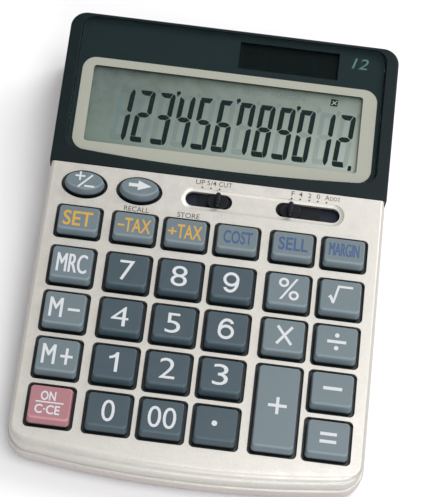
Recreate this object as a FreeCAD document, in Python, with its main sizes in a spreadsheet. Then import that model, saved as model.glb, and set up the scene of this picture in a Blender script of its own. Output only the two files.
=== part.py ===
import FreeCAD, Part
import math
import os
import re
import Sketcher
from FreeCAD import Placement, Rotation, Vector

# Driving sizes in millimetres and degrees
# Plan sizes lie on the keyboard plane: x to the right, y towards the display, z out of the face.
# The middle row of digit keys is at y = 0 and the face is at z = 0.
SIZES = [
    ("pitch_across", 20.0, "spacing of the key columns"),
    ("pitch_down", 18.67, "spacing of the key rows"),
    ("column_gap", 1.5, "extra space beside the memory column and before the operators"),
    ("opening_wide", 18.4, "width of a key opening in the face"),
    ("opening_long", 17.1, "length of a digit key opening"),
    ("short_opening_long", 14.3, "length of an opening in the tax and cost row"),
    ("opening_radius", 1.9, "corner radius of a key opening"),
    ("oval_wide", 18.2, "width of an oval opening"),
    ("oval_long", 12.0, "length of an oval opening"),
    ("oval_gap", 3.1, "face left between the top row and the ovals"),
    ("side_margin", 5.8, "face left beside the outer openings"),
    ("front_margin", 12.7, "distance from the bottom row to the front rim"),
    ("display_gap", 2.85, "face left between the ovals and the display housing"),
    ("key_tilt", 5.0, "slope of the keyboard above the table"),
    ("display_rise", 4.5, "slope of the display above the keyboard"),
    ("cover_depth", 7.0, "depth from the face to the parting line"),
    ("front_depth", 6.0, "height of the bottom case at its front"),
    ("case_wall", 1.8, "side wall of the bottom case and of the housing"),
    ("cover_wall", 2.2, "side wall of the top cover"),
    ("face_wall", 2.0, "thickness of the face"),
    ("floor_wall", 1.8, "thickness of the bottom case floor"),
    ("front_wall", 7.0, "depth of the solid nose of the top cover"),
    ("nose_corner", 8.0, "inner corner radius behind the nose"),
    ("front_bow", 420.0, "radius of the bowed front edge"),
    ("front_corner", 9.5, "plan radius of the front corners"),
    ("back_corner", 6.5, "plan radius of the back corners"),
    ("front_roll", 5.0, "rounding of the face towards the front rim"),
    ("side_roll", 1.3, "rounding of the face towards the sides"),
    ("lip_inset", 0.9, "width of the rim lip around the top cover"),
    ("lip_height", 1.5, "height of the rim lip"),
    ("lip_edge", 0.7, "rounding of the rim lip"),
    ("bottom_edge", 1.2, "rounding of the bottom case"),
    ("housing_edge", 0.8, "rounding of the display housing"),
    ("seam_gap", 0.15, "half the seam between the face and the housing"),
    ("hook_wide", 9.0, "width of a hook that ties the cover to the housing"),
    ("hook_thick", 1.2, "thickness of a hook"),
    ("hook_reach", 2.6, "reach of a hook past the seam"),
    ("hook_drop", 5.0, "depth of the hooks below the face"),
    ("slot_high", 6.2, "width of a switch slot"),
    ("slot_end", 1.45, "play of a knob at the ends of its slot"),
    ("slot_step", 3.45, "spacing of the switch positions"),
    ("rounding_offset", 7.35, "rounding slot from the second digit column"),
    ("decimal_offset", 4.65, "decimal slot from the first operator column"),
    ("recess_margin", 1.4, "width of the sunk band around the slots"),
    ("recess_depth", 0.6, "depth of the sunk band around the slots"),
    ("knob_base", 8.5, "length of a knob's base"),
    ("knob_play", 0.3, "play of a knob across its slot"),
    ("knob_sink", 0.8, "depth of a knob's base below the face"),
    ("fin_wide", 2.0, "thickness of a knob's fin"),
    ("fin_long", 5.4, "length of a knob's fin"),
    ("fin_height", 2.8, "height of a knob's fin above the face"),
    ("fin_edge", 0.7, "rounding of a knob's fin"),
    ("shutter_reach", 12.0, "reach of the decimal knob's shutter from its fin"),
    ("short_shutter_reach", 7.5, "reach of the rounding knob's shutter from its fin"),
    ("shutter_thick", 0.6, "thickness of a shutter"),
    ("shutter_lap", 1.6, "lap of a shutter under the edge of its slot"),
    ("slider_gap", 0.3, "running gap above and below a shutter"),
    ("driver_size", 2.4, "size of the leg that drives a wiper"),
    ("driver_offset", 3.6, "leg from its knob's middle, towards the resting end"),
    ("driver_play", 0.35, "play of the leg in its slots"),
    ("wiper_height", 1.6, "height of a wiper above the board"),
    ("wiper_thick", 0.3, "thickness of a wiper's leaf"),
    ("track_gap", 0.1, "gap of a wiper above the board"),
    ("plate_thick", 1.0, "thickness of the switch plate"),
    ("plate_margin", 0.6, "switch plate past the seats of its pillars"),
    ("key_gap", 1.2, "gap around a key at the face"),
    ("key_travel", 1.6, "travel of a key"),
    ("rest_gap", 0.3, "gap between a key's flange and the face"),
    ("cap_height", 3.2, "height of a key above the face"),
    ("cap_shoulder", 0.4, "height of a key's upright skirt above the face"),
    ("side_slope", 0.5, "plan width of a key's sloped sides"),
    ("front_slope", 2.2, "plan length of a key's sloped front"),
    ("back_slope", 0.8, "plan length of a key's sloped back"),
    ("cap_corner", 1.5, "corner radius of a key"),
    ("cap_edge", 0.45, "rounding of a key's top"),
    ("cap_wall", 1.3, "wall of a key"),
    ("flange_reach", 0.5, "reach of a key's flange past its opening"),
    ("flange_thick", 0.8, "thickness of a key's flange"),
    ("stem_radius", 2.0, "radius of a key's stem"),
    ("stem_play", 0.3, "play of a stem in the guide"),
    ("stem_reach", 0.3, "reach of a stem below the guide"),
    ("guide_gap", 0.3, "gap between a pressed key and the guide"),
    ("guide_thick", 1.0, "thickness of the key guide"),
    ("dome_gap", 0.2, "gap between a stem and its rubber dome"),
    ("dome_height", 2.0, "height of a rubber dome"),
    ("dome_radius", 3.8, "radius of a rubber dome at its foot"),
    ("dome_slope", 25.0, "slope of a dome's side from upright"),
    ("dome_wall", 0.5, "wall of a rubber dome"),
    ("pill_radius", 1.4, "radius of the contact pill in a dome"),
    ("pill_height", 0.4, "height of the contact pill"),
    ("sheet_thick", 0.6, "thickness of the rubber sheet"),
    ("board_thick", 1.2, "thickness of a circuit board"),
    ("board_inset", 1.5, "gap between the main board and the case walls"),
    ("board_corner", 2.0, "corner radius of a board"),
    ("board_back", 1.6, "main board's gap to the plane of the seam"),
    ("board_nose", 0.3, "main board's gap to the nose of the top cover"),
    ("post_room", 0.75, "room around a case post in the main board"),
    ("pillar_radius", 2.2, "radius of a board pillar"),
    ("pillar_play", 0.3, "play of plates around a pillar"),
    ("pillar_rise", 4.0, "board pillars ahead of the bottom row"),
    ("left_pillar_gap", 4.2, "first switch pillar from the play of the rounding knob"),
    ("middle_pillar_gap", 2.6, "second switch pillar from the rounding knob's shutter"),
    ("right_pillar_gap", 1.0, "third switch pillar from the decimal knob's shutter"),
    ("screw_radius", 0.95, "radius of a small screw's shank"),
    ("screw_bite", 3.0, "depth that a small screw holds in"),
    ("screw_head", 1.8, "radius of a small screw's head"),
    ("screw_cap", 1.1, "height of a small screw's head"),
    ("screw_gap", 0.05, "radial room around a shank"),
    ("post_radius", 3.2, "radius of a case post"),
    ("post_inset", 11.0, "front posts from the sides"),
    ("post_setback", 8.4, "front posts from the front rim"),
    ("rear_post_inset", 7.6, "rear posts from the sides"),
    ("rear_post_setback", 8.0, "rear posts from the back"),
    ("post_web", 2.5, "thickness of a post above its screw head"),
    ("bolt_radius", 1.3, "radius of a case screw's shank"),
    ("bolt_bite", 3.6, "depth that a case screw holds in"),
    ("bolt_head", 2.4, "radius of a case screw's head"),
    ("bolt_cap", 1.5, "height of a case screw's head"),
    ("bolt_room", 0.3, "room around a case screw's head"),
    ("lens_side", 5.0, "housing rim beside the lens"),
    ("lens_back", 1.4, "housing rim behind the lens"),
    ("lens_front", 3.2, "housing rim before the middle of the lens"),
    ("lens_bow", 500.0, "radius of the lens's front edge"),
    ("lens_corner", 5.0, "corner radius of the lens"),
    ("lens_thick", 1.6, "thickness of the lens"),
    ("lens_sink", 0.6, "depth of the lens below the rim"),
    ("lens_gap", 0.15, "gap around the lens"),
    ("rim_edge", 0.35, "rounding of the rim around the lens"),
    ("print_thick", 0.4, "thickness of the printed panel"),
    ("frame_side", 2.1, "dark band between the lens edge and the pale frame"),
    ("frame_front", 1.85, "dark band before the pale frame"),
    ("frame_bow", 800.0, "radius of the pale frame's front edge"),
    ("frame_corner", 5.5, "corner radius of the pale frame"),
    ("rail_front", 5.65, "pale frame before the middle of the window"),
    ("rail_back", 3.4, "pale frame behind the window"),
    ("rail_left", 4.6, "pale frame to the left of the window"),
    ("rail_right", 5.7, "pale frame to the right of the window"),
    ("window_long", 32.8, "length of the display window"),
    ("window_corner", 1.2, "corner radius of the display window"),
    ("window_lap", 0.5, "housing's window past the frame's window"),
    ("shelf_thick", 1.6, "shelf under the printed panel"),
    ("cell_window_x", 22.5, "solar window to the right of the middle"),
    ("cell_window_wide", 40.2, "width of the solar window"),
    ("cell_window_long", 11.7, "length of the solar window"),
    ("cell_window_gap", 2.7, "dark band between the frame and the solar window"),
    ("cell_window_margin", 2.5, "dark band behind the solar window"),
    ("cell_lap", 0.5, "solar panel past its window"),
    ("cell_thick", 1.1, "thickness of the solar panel"),
    ("lead_radius", 0.4, "radius of a solar lead"),
    ("lcd_lap", 1.7, "display glass past its window"),
    ("lcd_top_lap", 3.0, "display glass past the far edge of its window"),
    ("lcd_thick", 2.2, "thickness of the display glass"),
    ("strip_wide", 2.0, "width of a contact strip"),
    ("strip_high", 2.3, "height of a contact strip"),
    ("display_board_front", 8.5, "display board from the seam"),
    ("display_pillar_side", 3.4, "display pillars from the glass"),
    ("ribbon_wide", 18.0, "width of the ribbon cable"),
    ("ribbon_thick", 0.3, "thickness of the ribbon cable"),
    ("ribbon_sag", 2.5, "sag of the ribbon cable"),
    ("ribbon_lap", 3.0, "lap of the ribbon cable on each board"),
    ("chip_radius", 6.0, "radius of the potted chip"),
    ("chip_height", 1.8, "height of the potted chip"),
    ("chip_edge", 1.4, "rounding of the potted chip"),
    ("can_radius", 2.5, "radius of the capacitor"),
    ("can_long", 7.0, "length of the capacitor"),
    ("battery_x", 34.0, "battery to the left of the middle"),
    ("battery_setback", 104.0, "battery from the front along the bottom"),
    ("battery_radius", 5.8, "radius of the button cell"),
    ("battery_height", 5.4, "height of the button cell"),
    ("battery_play", 0.3, "play around the button cell"),
    ("contact_thick", 0.3, "thickness of a battery contact"),
    ("contact_wide", 3.0, "width of a battery contact"),
    ("hatch_wide", 30.0, "length of the battery cover across the case"),
    ("hatch_long", 17.0, "width of the battery cover along the case"),
    ("hatch_thick", 1.6, "thickness of the battery cover"),
    ("hatch_gap", 0.2, "gap around the battery cover"),
    ("hatch_corner", 2.0, "corner radius of the battery cover"),
    ("hatch_rim", 2.2, "wall of the battery bay around its cover"),
    ("hatch_screw", 11.0, "battery cover's screw from the cell"),
    ("foot_height", 1.5, "height of a foot below the case"),
    ("foot_seat", 0.6, "depth of a foot in the case"),
    ("foot_radius", 5.0, "radius of a foot"),
    ("foot_edge", 0.5, "rounding of a foot"),
    ("foot_inset", 13.0, "feet from the sides"),
    ("foot_setback", 17.0, "front feet from the front"),
    ("rear_foot_setback", 24.0, "rear feet from the back"),
    ("foot_play", 0.1, "radial play of a foot in its seat"),
    ("back_lean", 12.0, "slope of the bottom case's back"),
    ("back_wall", 7.0, "thickness of the bottom case's back at its top"),
    ("contact_play", 0.2, "play around a battery contact in the case"),
    ("tail_gap", 0.3, "gap between a contact's tail and the board"),
    ("cell_step", 0.4, "step of the button cell's cap"),
    ("pillar_step", 0.8, "shoulder of a board pillar above the key guide"),
    ("hook_play", 0.3, "play around a hook"),
    ("print_gap", 0.1, "gap between the printed panel and the pale frame"),
    ("lens_edge", 0.3, "rounding of the lens"),
    ("display_board_back", 4.2, "display board past the far edge of the glass"),
    ("mat_margin", 6.2, "rubber sheet past the outer domes"),
    ("peg_radius", 1.2, "radius of a guide peg"),
    ("cap_roof", 1.6, "thickness of a key's top"),
    ("driver_slot", 0.6, "width of a screwdriver slot"),
    ("driver_rim", 0.65, "screw head left past the ends of its slot"),
    ("end_flat", 0.03, "half the flat left at the end of a rounded slot"),
]

document = FreeCAD.newDocument("desktop_calculator")
sheet = document.addObject("Spreadsheet::Sheet", "Sizes")
for line, (alias, value, meaning) in enumerate(SIZES, 1):
    sheet.set(f"A{line}", meaning)
    sheet.set(f"B{line}", str(value))
    sheet.setAlias(f"B{line}", alias)
document.recompute()


# Places worked out from the driving sizes
HALF_WIDE = "(2.5 * pitch_across + column_gap + opening_wide / 2 + side_margin)"
FRONT = "(-2 * pitch_down - opening_long / 2 - front_margin)"
OVAL_Y = "(2 * pitch_down + short_opening_long / 2 + oval_gap + oval_long / 2)"
SEAM = f"({OVAL_Y} + oval_long / 2 + display_gap)"
FLANGE_TOP = "(-face_wall - rest_gap)"
FLANGE_FOOT = f"({FLANGE_TOP} - flange_thick)"
GUIDE_TOP = f"({FLANGE_FOOT} - key_travel - guide_gap)"
GUIDE_FOOT = f"({GUIDE_TOP} - guide_thick)"
STEM_END = f"({GUIDE_FOOT} - stem_reach)"
CROWN = f"({STEM_END} - dome_gap)"
SHEET_TOP = f"({CROWN} - dome_height)"
BOARD_TOP = f"({SHEET_TOP} - sheet_thick)"
BOARD_FOOT = f"({BOARD_TOP} - board_thick)"
BOARD_FRONT = f"({FRONT} + front_wall + board_nose)"
BOARD_BACK = f"({SEAM} - board_back)"
TILT = "(key_tilt * 1 deg)"
RISE = "(display_rise * 1 deg)"
WINDOW_FRONT = "(lens_front + frame_front + rail_front)"
WINDOW_BACK = f"({WINDOW_FRONT} + window_long)"
FRAME_BACK = f"({WINDOW_BACK} + rail_back)"
CELL_BACK = f"({FRAME_BACK} + cell_window_gap + cell_window_long)"
LENS_BACK = f"({CELL_BACK} + cell_window_margin)"
DISPLAY_LONG = f"(({LENS_BACK} + lens_back) * cos{RISE})"
BACK = f"({SEAM} + {DISPLAY_LONG})"
CASE_FOOT = "(-cover_depth - front_depth)"
LIFT = f"(foot_height - {FRONT} * sin{TILT} - {CASE_FOOT} * cos{TILT})"
FORE_END = f"({FRONT} * cos{TILT} + (cover_depth - lip_height / 2) * sin{TILT})"
REAR_END = f"({BACK} * cos{TILT} + cover_depth * sin{TILT})"
CENTRING = f"(-({FORE_END} + {REAR_END}) / 2)"
BOTTOM_START = f"({CENTRING} + {FRONT} * cos{TILT} - {CASE_FOOT} * sin{TILT})"
LENS_HALF = f"({HALF_WIDE} - lens_side)"
FRAME_HALF = f"({LENS_HALF} - frame_side)"
PRINT_TOP = "(-lens_sink - lens_thick)"
SHELF_TOP = f"({PRINT_TOP} - print_thick)"
SHELF_FOOT = f"({SHELF_TOP} - shelf_thick)"
LCD_FOOT = f"({SHELF_FOOT} - lcd_thick)"
DISPLAY_BOARD_TOP = f"({LCD_FOOT} - strip_high)"
WINDOW_X = "((rail_left - rail_right) / 2)"
WINDOW_WIDE = f"(2 * {FRAME_HALF} - rail_left - rail_right)"
WINDOW_MID = f"(({WINDOW_FRONT} + {WINDOW_BACK}) / 2)"
CELL_MID = f"({CELL_BACK} - cell_window_long / 2)"
LCD_WIDE = f"({WINDOW_WIDE} + 2 * lcd_lap)"
LCD_LONG = "(window_long + lcd_lap + lcd_top_lap)"
LCD_MID = f"({WINDOW_FRONT} - lcd_lap + {LCD_LONG} / 2)"
PILLAR_FRONT = "(-2 * pitch_down - opening_long / 2 - pillar_rise)"
POST_X = f"({HALF_WIDE} - post_inset)"
POST_Y = f"({FRONT} + post_setback)"
REAR_POST_X = f"({HALF_WIDE} - rear_post_inset)"
REAR_POST_Y = f"({BACK} - rear_post_setback)"
KNOB_WIDE = "(slot_high - 2 * knob_play)"
SHUTTER_TOP = "(-face_wall - slider_gap)"
SHUTTER_FOOT = f"({SHUTTER_TOP} - shutter_thick)"
PLATE_TOP = f"({SHUTTER_FOOT} - slider_gap)"
PLATE_FOOT = f"({PLATE_TOP} - plate_thick)"
WIPER_TOP = f"({BOARD_TOP} + track_gap + wiper_height)"


def cells(text):
    """Point every size in an expression at its cell."""
    return re.sub(r"\b[a-z]+(?:_[a-z]+)+\b", lambda word: "Sizes." + word.group(), text)


def number(text):
    """The present value of an expression."""
    return float(sheet.evalExpression(cells(text)))


def column(index):
    """x of a key column, 0 at the left and 5 at the right."""
    side = "-1" if index == 0 else "1" if index > 3 else "0"
    return f"(({index} - 2.5) * pitch_across + ({side}) * column_gap)"


def row(index):
    """y of a key row, 0 next to the display and 4 at the front."""
    return f"((2 - {index}) * pitch_down)"


# Every key: name, x, y, opening length, and whether its opening is an oval
ROW_NAMES = [
    ["set", "tax_minus", "tax_plus", "cost", "sell", "margin"],
    ["memory_recall", "7", "8", "9", "percent", "root"],
    ["memory_minus", "4", "5", "6", "times", "divide"],
    ["memory_plus", "1", "2", "3", "plus", "minus"],
    ["clear", "0", "00", "point", None, "equals"],
]
TALL_LONG = "(opening_long + pitch_down)"
KEYS = [("sign", column(0), OVAL_Y, "oval_long", True), ("back_arrow", column(1), OVAL_Y, "oval_long", True)]
for row_index, names in enumerate(ROW_NAMES):
    for column_index, name in enumerate(names):
        long = "short_opening_long" if row_index == 0 else "opening_long"
        y = row(row_index)
        if name == "plus":
            long = TALL_LONG
            y = "(-1.5 * pitch_down)"
        if name:
            KEYS.append((name, column(column_index), y, long, False))

ROUNDING_X = f"({column(2)} + rounding_offset)"
DECIMAL_X = f"({column(4)} + decimal_offset)"
# Each switch: name, middle of its slot, number of steps, which end it rests at, reach of its shutter
SWITCHES = [
    ("rounding", ROUNDING_X, 2, 1, "short_shutter_reach"),
    ("decimal", DECIMAL_X, 4, -1, "shutter_reach"),
]
# Pillars that hold the main board, on the front margin and beside the switches
BOARD_PILLARS = [
    (f"(({column(0)} + {column(1)}) / 2)", PILLAR_FRONT),
    ("0", PILLAR_FRONT),
    (f"(({column(4)} + {column(5)}) / 2)", PILLAR_FRONT),
    (f"({ROUNDING_X} - slot_step - knob_base / 2 - pillar_radius - left_pillar_gap)", OVAL_Y),
    (f"({ROUNDING_X} + slot_step + short_shutter_reach + pillar_radius + middle_pillar_gap)", OVAL_Y),
    (f"({DECIMAL_X} + 2 * slot_step + shutter_reach + pillar_radius + right_pillar_gap)", OVAL_Y),
]
DISPLAY_PILLARS = [
    (f"({WINDOW_X} + ({side}) * ({LCD_WIDE} / 2 + display_pillar_side))", f"({LCD_MID} + ({end}) * {LCD_LONG} / 4)")
    for side in (-1, 1)
    for end in (-1, 1)
]
FRONT_POSTS = [(f"(({side}) * {POST_X})", POST_Y) for side in (-1, 1)]
REAR_POSTS = [(f"(({side}) * {REAR_POST_X})", REAR_POST_Y) for side in (-1, 1)]


# Making sketches
QUARTER = math.pi / 2


def new_body(name):
    body = document.addObject("PartDesign::Body", name)
    body.Label = name
    body.AllowCompound = True
    return body


def origin_plane(body, role):
    return next(item for item in body.Origin.OriginFeatures if item.Role == role)


def attach(item, body, z, y, turn, role):
    """Lay a sketch or a datum plane on a plane of the body, moved by y and z and turned about x."""
    item.AttachmentSupport = [(origin_plane(body, role), "")]
    item.MapMode = "FlatFace"
    item.AttachmentOffset = Placement(Vector(0, number(y), number(z)), Rotation(Vector(1, 0, 0), number(turn)))
    for place, text in (("Base.y", y), ("Base.z", z)):
        if text != "0":
            item.setExpression(f"AttachmentOffset.{place}", cells(text))
    if turn != "0":
        item.setExpression("AttachmentOffset.Rotation.Angle", cells(turn))


def new_sketch(body, z="0", y="0", turn="0", role="XY_Plane"):
    sketch = body.newObject("Sketcher::SketchObject", f"{body.Label}_sketch")
    attach(sketch, body, z, y, turn, role)
    return sketch


def new_plane(body, z, y, turn):
    plane = body.newObject("PartDesign::Plane", f"{body.Label}_plane")
    attach(plane, body, z, y, turn, "XY_Plane")
    return plane


def constrain(sketch, rules):
    """Add constraints, each with its kind first, and tie those that end in an expression to it."""
    sized = [isinstance(rule[-1], str) for rule in rules]
    made = [
        Sketcher.Constraint(*rule[:-1], number(rule[-1])) if has_size else Sketcher.Constraint(*rule)
        for rule, has_size in zip(rules, sized)
    ]
    for index, rule, has_size in zip(sketch.addConstraint(made), rules, sized):
        if has_size:
            sketch.setExpression(f"Constraints[{index}]", cells(rule[-1]))


def ring(sketch, edges):
    """Rules that join lines and arcs end to end, tangent wherever one of the two is an arc."""
    rules = []
    for first, second in zip(edges, edges[1:] + edges[:1]):
        straight = all(sketch.Geometry[edge].TypeId == "Part::GeomLineSegment" for edge in (first, second))
        rules.append(("Coincident" if straight else "Tangent", first, 2, second, 1))
    return rules


def arc(centre, radius, start, end):
    return Part.ArcOfCircle(Part.Circle(centre, Vector(0, 0, 1), radius), start, end)


def rectangle(sketch, wide, long, radius=None, x="0", y="0"):
    """A rectangle with its middle at x, y, with round corners if it has a radius."""
    half_x, half_y, middle = number(wide) / 2, number(long) / 2, Vector(number(x), number(y), 0)
    inset = number(radius) if radius else 0.0
    sides = []
    for turn, (reach, span) in enumerate([(half_y, half_x), (half_x, half_y)] * 2):
        spin = Rotation(Vector(0, 0, 1), 90 * turn)
        start = middle + spin.multVec(Vector(-span + inset, -reach, 0))
        end = middle + spin.multVec(Vector(span - inset, -reach, 0))
        sides.append(Part.LineSegment(start, end))
        if radius:
            centre = middle + spin.multVec(Vector(span - inset, -reach + inset, 0))
            sides.append(arc(centre, inset, (turn - 1) * QUARTER, turn * QUARTER))
    edges = list(sketch.addGeometry(sides))
    bottom, right, top, left = edges[:: 2 if radius else 1]
    rules = ring(sketch, edges)
    rules += [("Horizontal", bottom), ("Horizontal", top), ("Vertical", left), ("Vertical", right)]
    if radius:
        rules += [("Equal", edges[1], corner) for corner in edges[3::2]]
        rules.append(("Radius", edges[1], radius))
    rules += [
        ("DistanceX", left, 1, right, 1, wide),
        ("DistanceY", bottom, 1, top, 1, long),
        ("DistanceX", -1, 1, left, 1, f"{x} - {wide} / 2"),
        ("DistanceY", -1, 1, bottom, 1, f"{y} - {long} / 2"),
    ]
    constrain(sketch, rules)


def circles(sketch, radius, places):
    rules = []
    for x, y in places:
        edge = sketch.addGeometry(Part.Circle(Vector(number(x), number(y), 0), Vector(0, 0, 1), number(radius)))
        rules += [("Radius", edge, radius), ("DistanceX", -1, 1, edge, 3, x), ("DistanceY", -1, 1, edge, 3, y)]
    constrain(sketch, rules)


def oval(sketch, wide, long, x="0", y="0"):
    """An ellipse held by its two axes."""
    middle = Vector(number(x), number(y), 0)
    wide_end = middle + Vector(number(wide) / 2, 0, 0)
    long_end = middle + Vector(0, number(long) / 2, 0)
    edge = sketch.addGeometry(Part.Ellipse(wide_end, long_end, middle))
    sketch.exposeInternalGeometry(edge)
    rules = [
        ("Horizontal", edge + 1),
        ("Distance", edge + 1, wide),
        ("Distance", edge + 2, long),
        ("DistanceX", -1, 1, edge, 3, x),
        ("DistanceY", -1, 1, edge, 3, y),
    ]
    constrain(sketch, rules)


def outline(sketch, half, front, back, bow, front_corner, back_corner=None):
    """A plate whose front edge is bowed, with round front corners and, if asked, round back ones."""
    h, f, b, bend, r = (number(text) for text in (half, front, back, bow, front_corner))
    drop = ((bend - r) ** 2 - (h - r) ** 2) ** 0.5
    bow_centre, corner = Vector(0, f + bend, 0), Vector(h - r, f + bend - drop, 0)
    lean = Vector(0, -1, 0).getAngle(corner.sub(bow_centre))
    back_radius = number(back_corner) if back_corner else 0.0
    parts = [
        arc(bow_centre, bend, -QUARTER - lean, -QUARTER + lean),
        arc(corner, r, -QUARTER + lean, 0),
        Part.LineSegment(Vector(h, corner.y, 0), Vector(h, b - back_radius, 0)),
        Part.LineSegment(Vector(h - back_radius, b, 0), Vector(back_radius - h, b, 0)),
        Part.LineSegment(Vector(-h, b - back_radius, 0), Vector(-h, corner.y, 0)),
        arc(Vector(-corner.x, corner.y, 0), r, 2 * QUARTER, 3 * QUARTER - lean),
    ]
    if back_corner:
        parts.insert(3, arc(Vector(h - back_radius, b - back_radius, 0), back_radius, 0, QUARTER))
        parts.insert(5, arc(Vector(back_radius - h, b - back_radius, 0), back_radius, QUARTER, 2 * QUARTER))
    edges = list(sketch.addGeometry(parts))
    right, left, rear = edges[2], edges[-2], edges[4 if back_corner else 3]
    rules = ring(sketch, edges)
    rules += [("Vertical", right), ("Vertical", left), ("Horizontal", rear), ("Equal", edges[1], edges[-1])]
    rules += [
        ("Radius", edges[1], front_corner),
        ("Radius", edges[0], bow),
        ("PointOnObject", edges[0], 3, -2),
        ("DistanceY", -1, 1, edges[0], 3, f"{front} + {bow}"),
        ("DistanceX", -1, 1, right, 1, half),
        ("DistanceX", -1, 1, left, 1, f"-{half}"),
        ("DistanceY", -1, 1, rear, 1, back),
    ]
    if back_corner:
        rules += [("Equal", edges[3], edges[5]), ("Radius", edges[3], back_corner)]
    constrain(sketch, rules)


def back_plate(sketch, half, front, back, corner):
    """A plate with square front corners and round back corners."""
    h, f, b, r = number(half), number(front), number(back), number(corner)
    parts = [
        Part.LineSegment(Vector(-h, f, 0), Vector(h, f, 0)),
        Part.LineSegment(Vector(h, f, 0), Vector(h, b - r, 0)),
        arc(Vector(h - r, b - r, 0), r, 0, QUARTER),
        Part.LineSegment(Vector(h - r, b, 0), Vector(r - h, b, 0)),
        arc(Vector(r - h, b - r, 0), r, QUARTER, 2 * QUARTER),
        Part.LineSegment(Vector(-h, b - r, 0), Vector(-h, f, 0)),
    ]
    edges = list(sketch.addGeometry(parts))
    rules = ring(sketch, edges)
    rules += [("Horizontal", edges[0]), ("Vertical", edges[1]), ("Horizontal", edges[3]), ("Vertical", edges[5])]
    rules += [
        ("Equal", edges[2], edges[4]),
        ("Radius", edges[2], corner),
        ("DistanceX", -1, 1, edges[1], 1, half),
        ("DistanceX", -1, 1, edges[5], 1, f"-{half}"),
        ("DistanceY", -1, 1, edges[0], 1, front),
        ("DistanceY", -1, 1, edges[3], 1, back),
    ]
    constrain(sketch, rules)


def polygon(sketch, corners):
    """A straight-sided outline whose every corner is placed by two expressions."""
    points = [Vector(number(x), number(y), 0) for x, y in corners]
    edges = list(sketch.addGeometry([Part.LineSegment(a, b) for a, b in zip(points, points[1:] + points[:1])]))
    rules = ring(sketch, edges)
    for edge, (x, y) in zip(edges, corners):
        rules += [("DistanceX", -1, 1, edge, 1, x), ("DistanceY", -1, 1, edge, 1, y)]
    constrain(sketch, rules)


# Making features
def finish(body, feature):
    """Make a new feature the end of its body and stop if it failed."""
    body.Tip = feature
    feature.recompute(True)
    if not feature.isValid() or feature.Shape.isNull():
        raise RuntimeError(f"{body.Label}: {feature.Name} failed")
    return feature


def extrude(kind, body, sketch, length, down, up_to, symmetric, taper):
    feature = body.newObject(f"PartDesign::{kind}", f"{body.Label}_{kind.lower()}")
    feature.Profile = sketch
    if up_to:
        feature.Type = "UpToFace"
        feature.UpToFace = (up_to, [""])
    elif length:
        feature.Length = number(length)
        feature.setExpression("Length", cells(length))
    else:
        feature.Type = "ThroughAll"
    if symmetric:
        feature.SideType = "Symmetric"
    if taper:
        feature.TaperAngle = number(taper)
        feature.setExpression("TaperAngle", cells(taper))
    # A pad grows along the sketch's normal and a pocket cuts against it
    feature.Reversed = down if kind == "Pad" else not down
    return finish(body, feature)


def pad(body, sketch, length=None, down=False, up_to=None, symmetric=False, taper=None):
    before = body.Tip.Shape.Volume if body.Tip else 0.0
    feature = extrude("Pad", body, sketch, length, down, up_to, symmetric, taper)
    if feature.Shape.Volume <= before:
        raise RuntimeError(f"{feature.Name} adds nothing")
    return feature


def pocket(body, sketch, length=None, down=True, up_to=None, symmetric=False, taper=None):
    before = body.Tip.Shape.Volume
    feature = extrude("Pocket", body, sketch, length, down, up_to, symmetric, taper)
    if feature.Shape.Volume >= before:
        raise RuntimeError(f"{feature.Name} cuts nothing")
    return feature


def round_edges(body, radius, chosen):
    """Round the edges of the body's last feature that the test picks."""
    base = body.Tip
    names = [f"Edge{index}" for index, edge in enumerate(base.Shape.Edges, 1) if chosen(edge)]
    if not names:
        raise RuntimeError(f"{body.Label}: no edges to round")
    feature = body.newObject("PartDesign::Fillet", f"{body.Label}_fillet")
    feature.Base = (base, names)
    feature.Radius = number(radius)
    feature.setExpression("Radius", cells(radius))
    return finish(body, feature)


def level(z, near=0.01):
    """A test for edges that lie at one height."""
    height = number(z)
    return lambda edge: all(abs(point.z - height) < near for point in edge.discretize(3))


# Placing sub-parts
def place(item, x="0", y="0", z="0", turn=None):
    turned = Rotation(Vector(1, 0, 0), number(turn) if turn else 0.0)
    item.Placement = Placement(Vector(number(x), number(y), number(z)), turned)
    for axis, text in (("x", x), ("y", y), ("z", z)):
        item.setExpression(f"Placement.Base.{axis}", cells(text))
    if turn:
        item.setExpression("Placement.Rotation.Angle", cells(turn))


def on_keyboard(item, x="0", y="0"):
    """Place a piece on the sloping keyboard plane."""
    place(item, x, f"{CENTRING} + {y} * cos{TILT}", f"{LIFT} + {y} * sin{TILT}", "key_tilt")


def on_display(item):
    """Place a piece on the display plane, which starts at the seam."""
    place(item, "0", f"{CENTRING} + {SEAM} * cos{TILT}", f"{LIFT} + {SEAM} * sin{TILT}", "key_tilt + display_rise")


def on_bottom(item, x="0", setback="0", z="0"):
    """Place a piece on the level bottom of the case, measured back from its front edge."""
    place(item, x, f"{BOTTOM_START} + {setback}", f"foot_height + {z}")


def display_sketch(body, height):
    """A sketch at a height above the display plane; its y runs along the plane from the seam."""
    return new_sketch(body, f"{height} * cos{RISE}", f"{SEAM} - {height} * sin{RISE}", "display_rise")


def display_plane(body, height):
    return new_plane(body, f"{height} * cos{RISE}", f"{SEAM} - {height} * sin{RISE}", "display_rise")


def bottom_sketch(body, height="0"):
    """A sketch at a height above the case's bottom; its y runs back along the bottom."""
    return new_sketch(body, f"{CASE_FOOT} + {height} * cos{TILT}", f"{FRONT} + {height} * sin{TILT}", "-key_tilt")


def display_point(along, height):
    """A point of the display's own section, as a point of the keyboard's section."""
    y = f"{SEAM} + {along} * cos{RISE} - {height} * sin{RISE}"
    return y, f"{along} * sin{RISE} + {height} * cos{RISE}"


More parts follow.
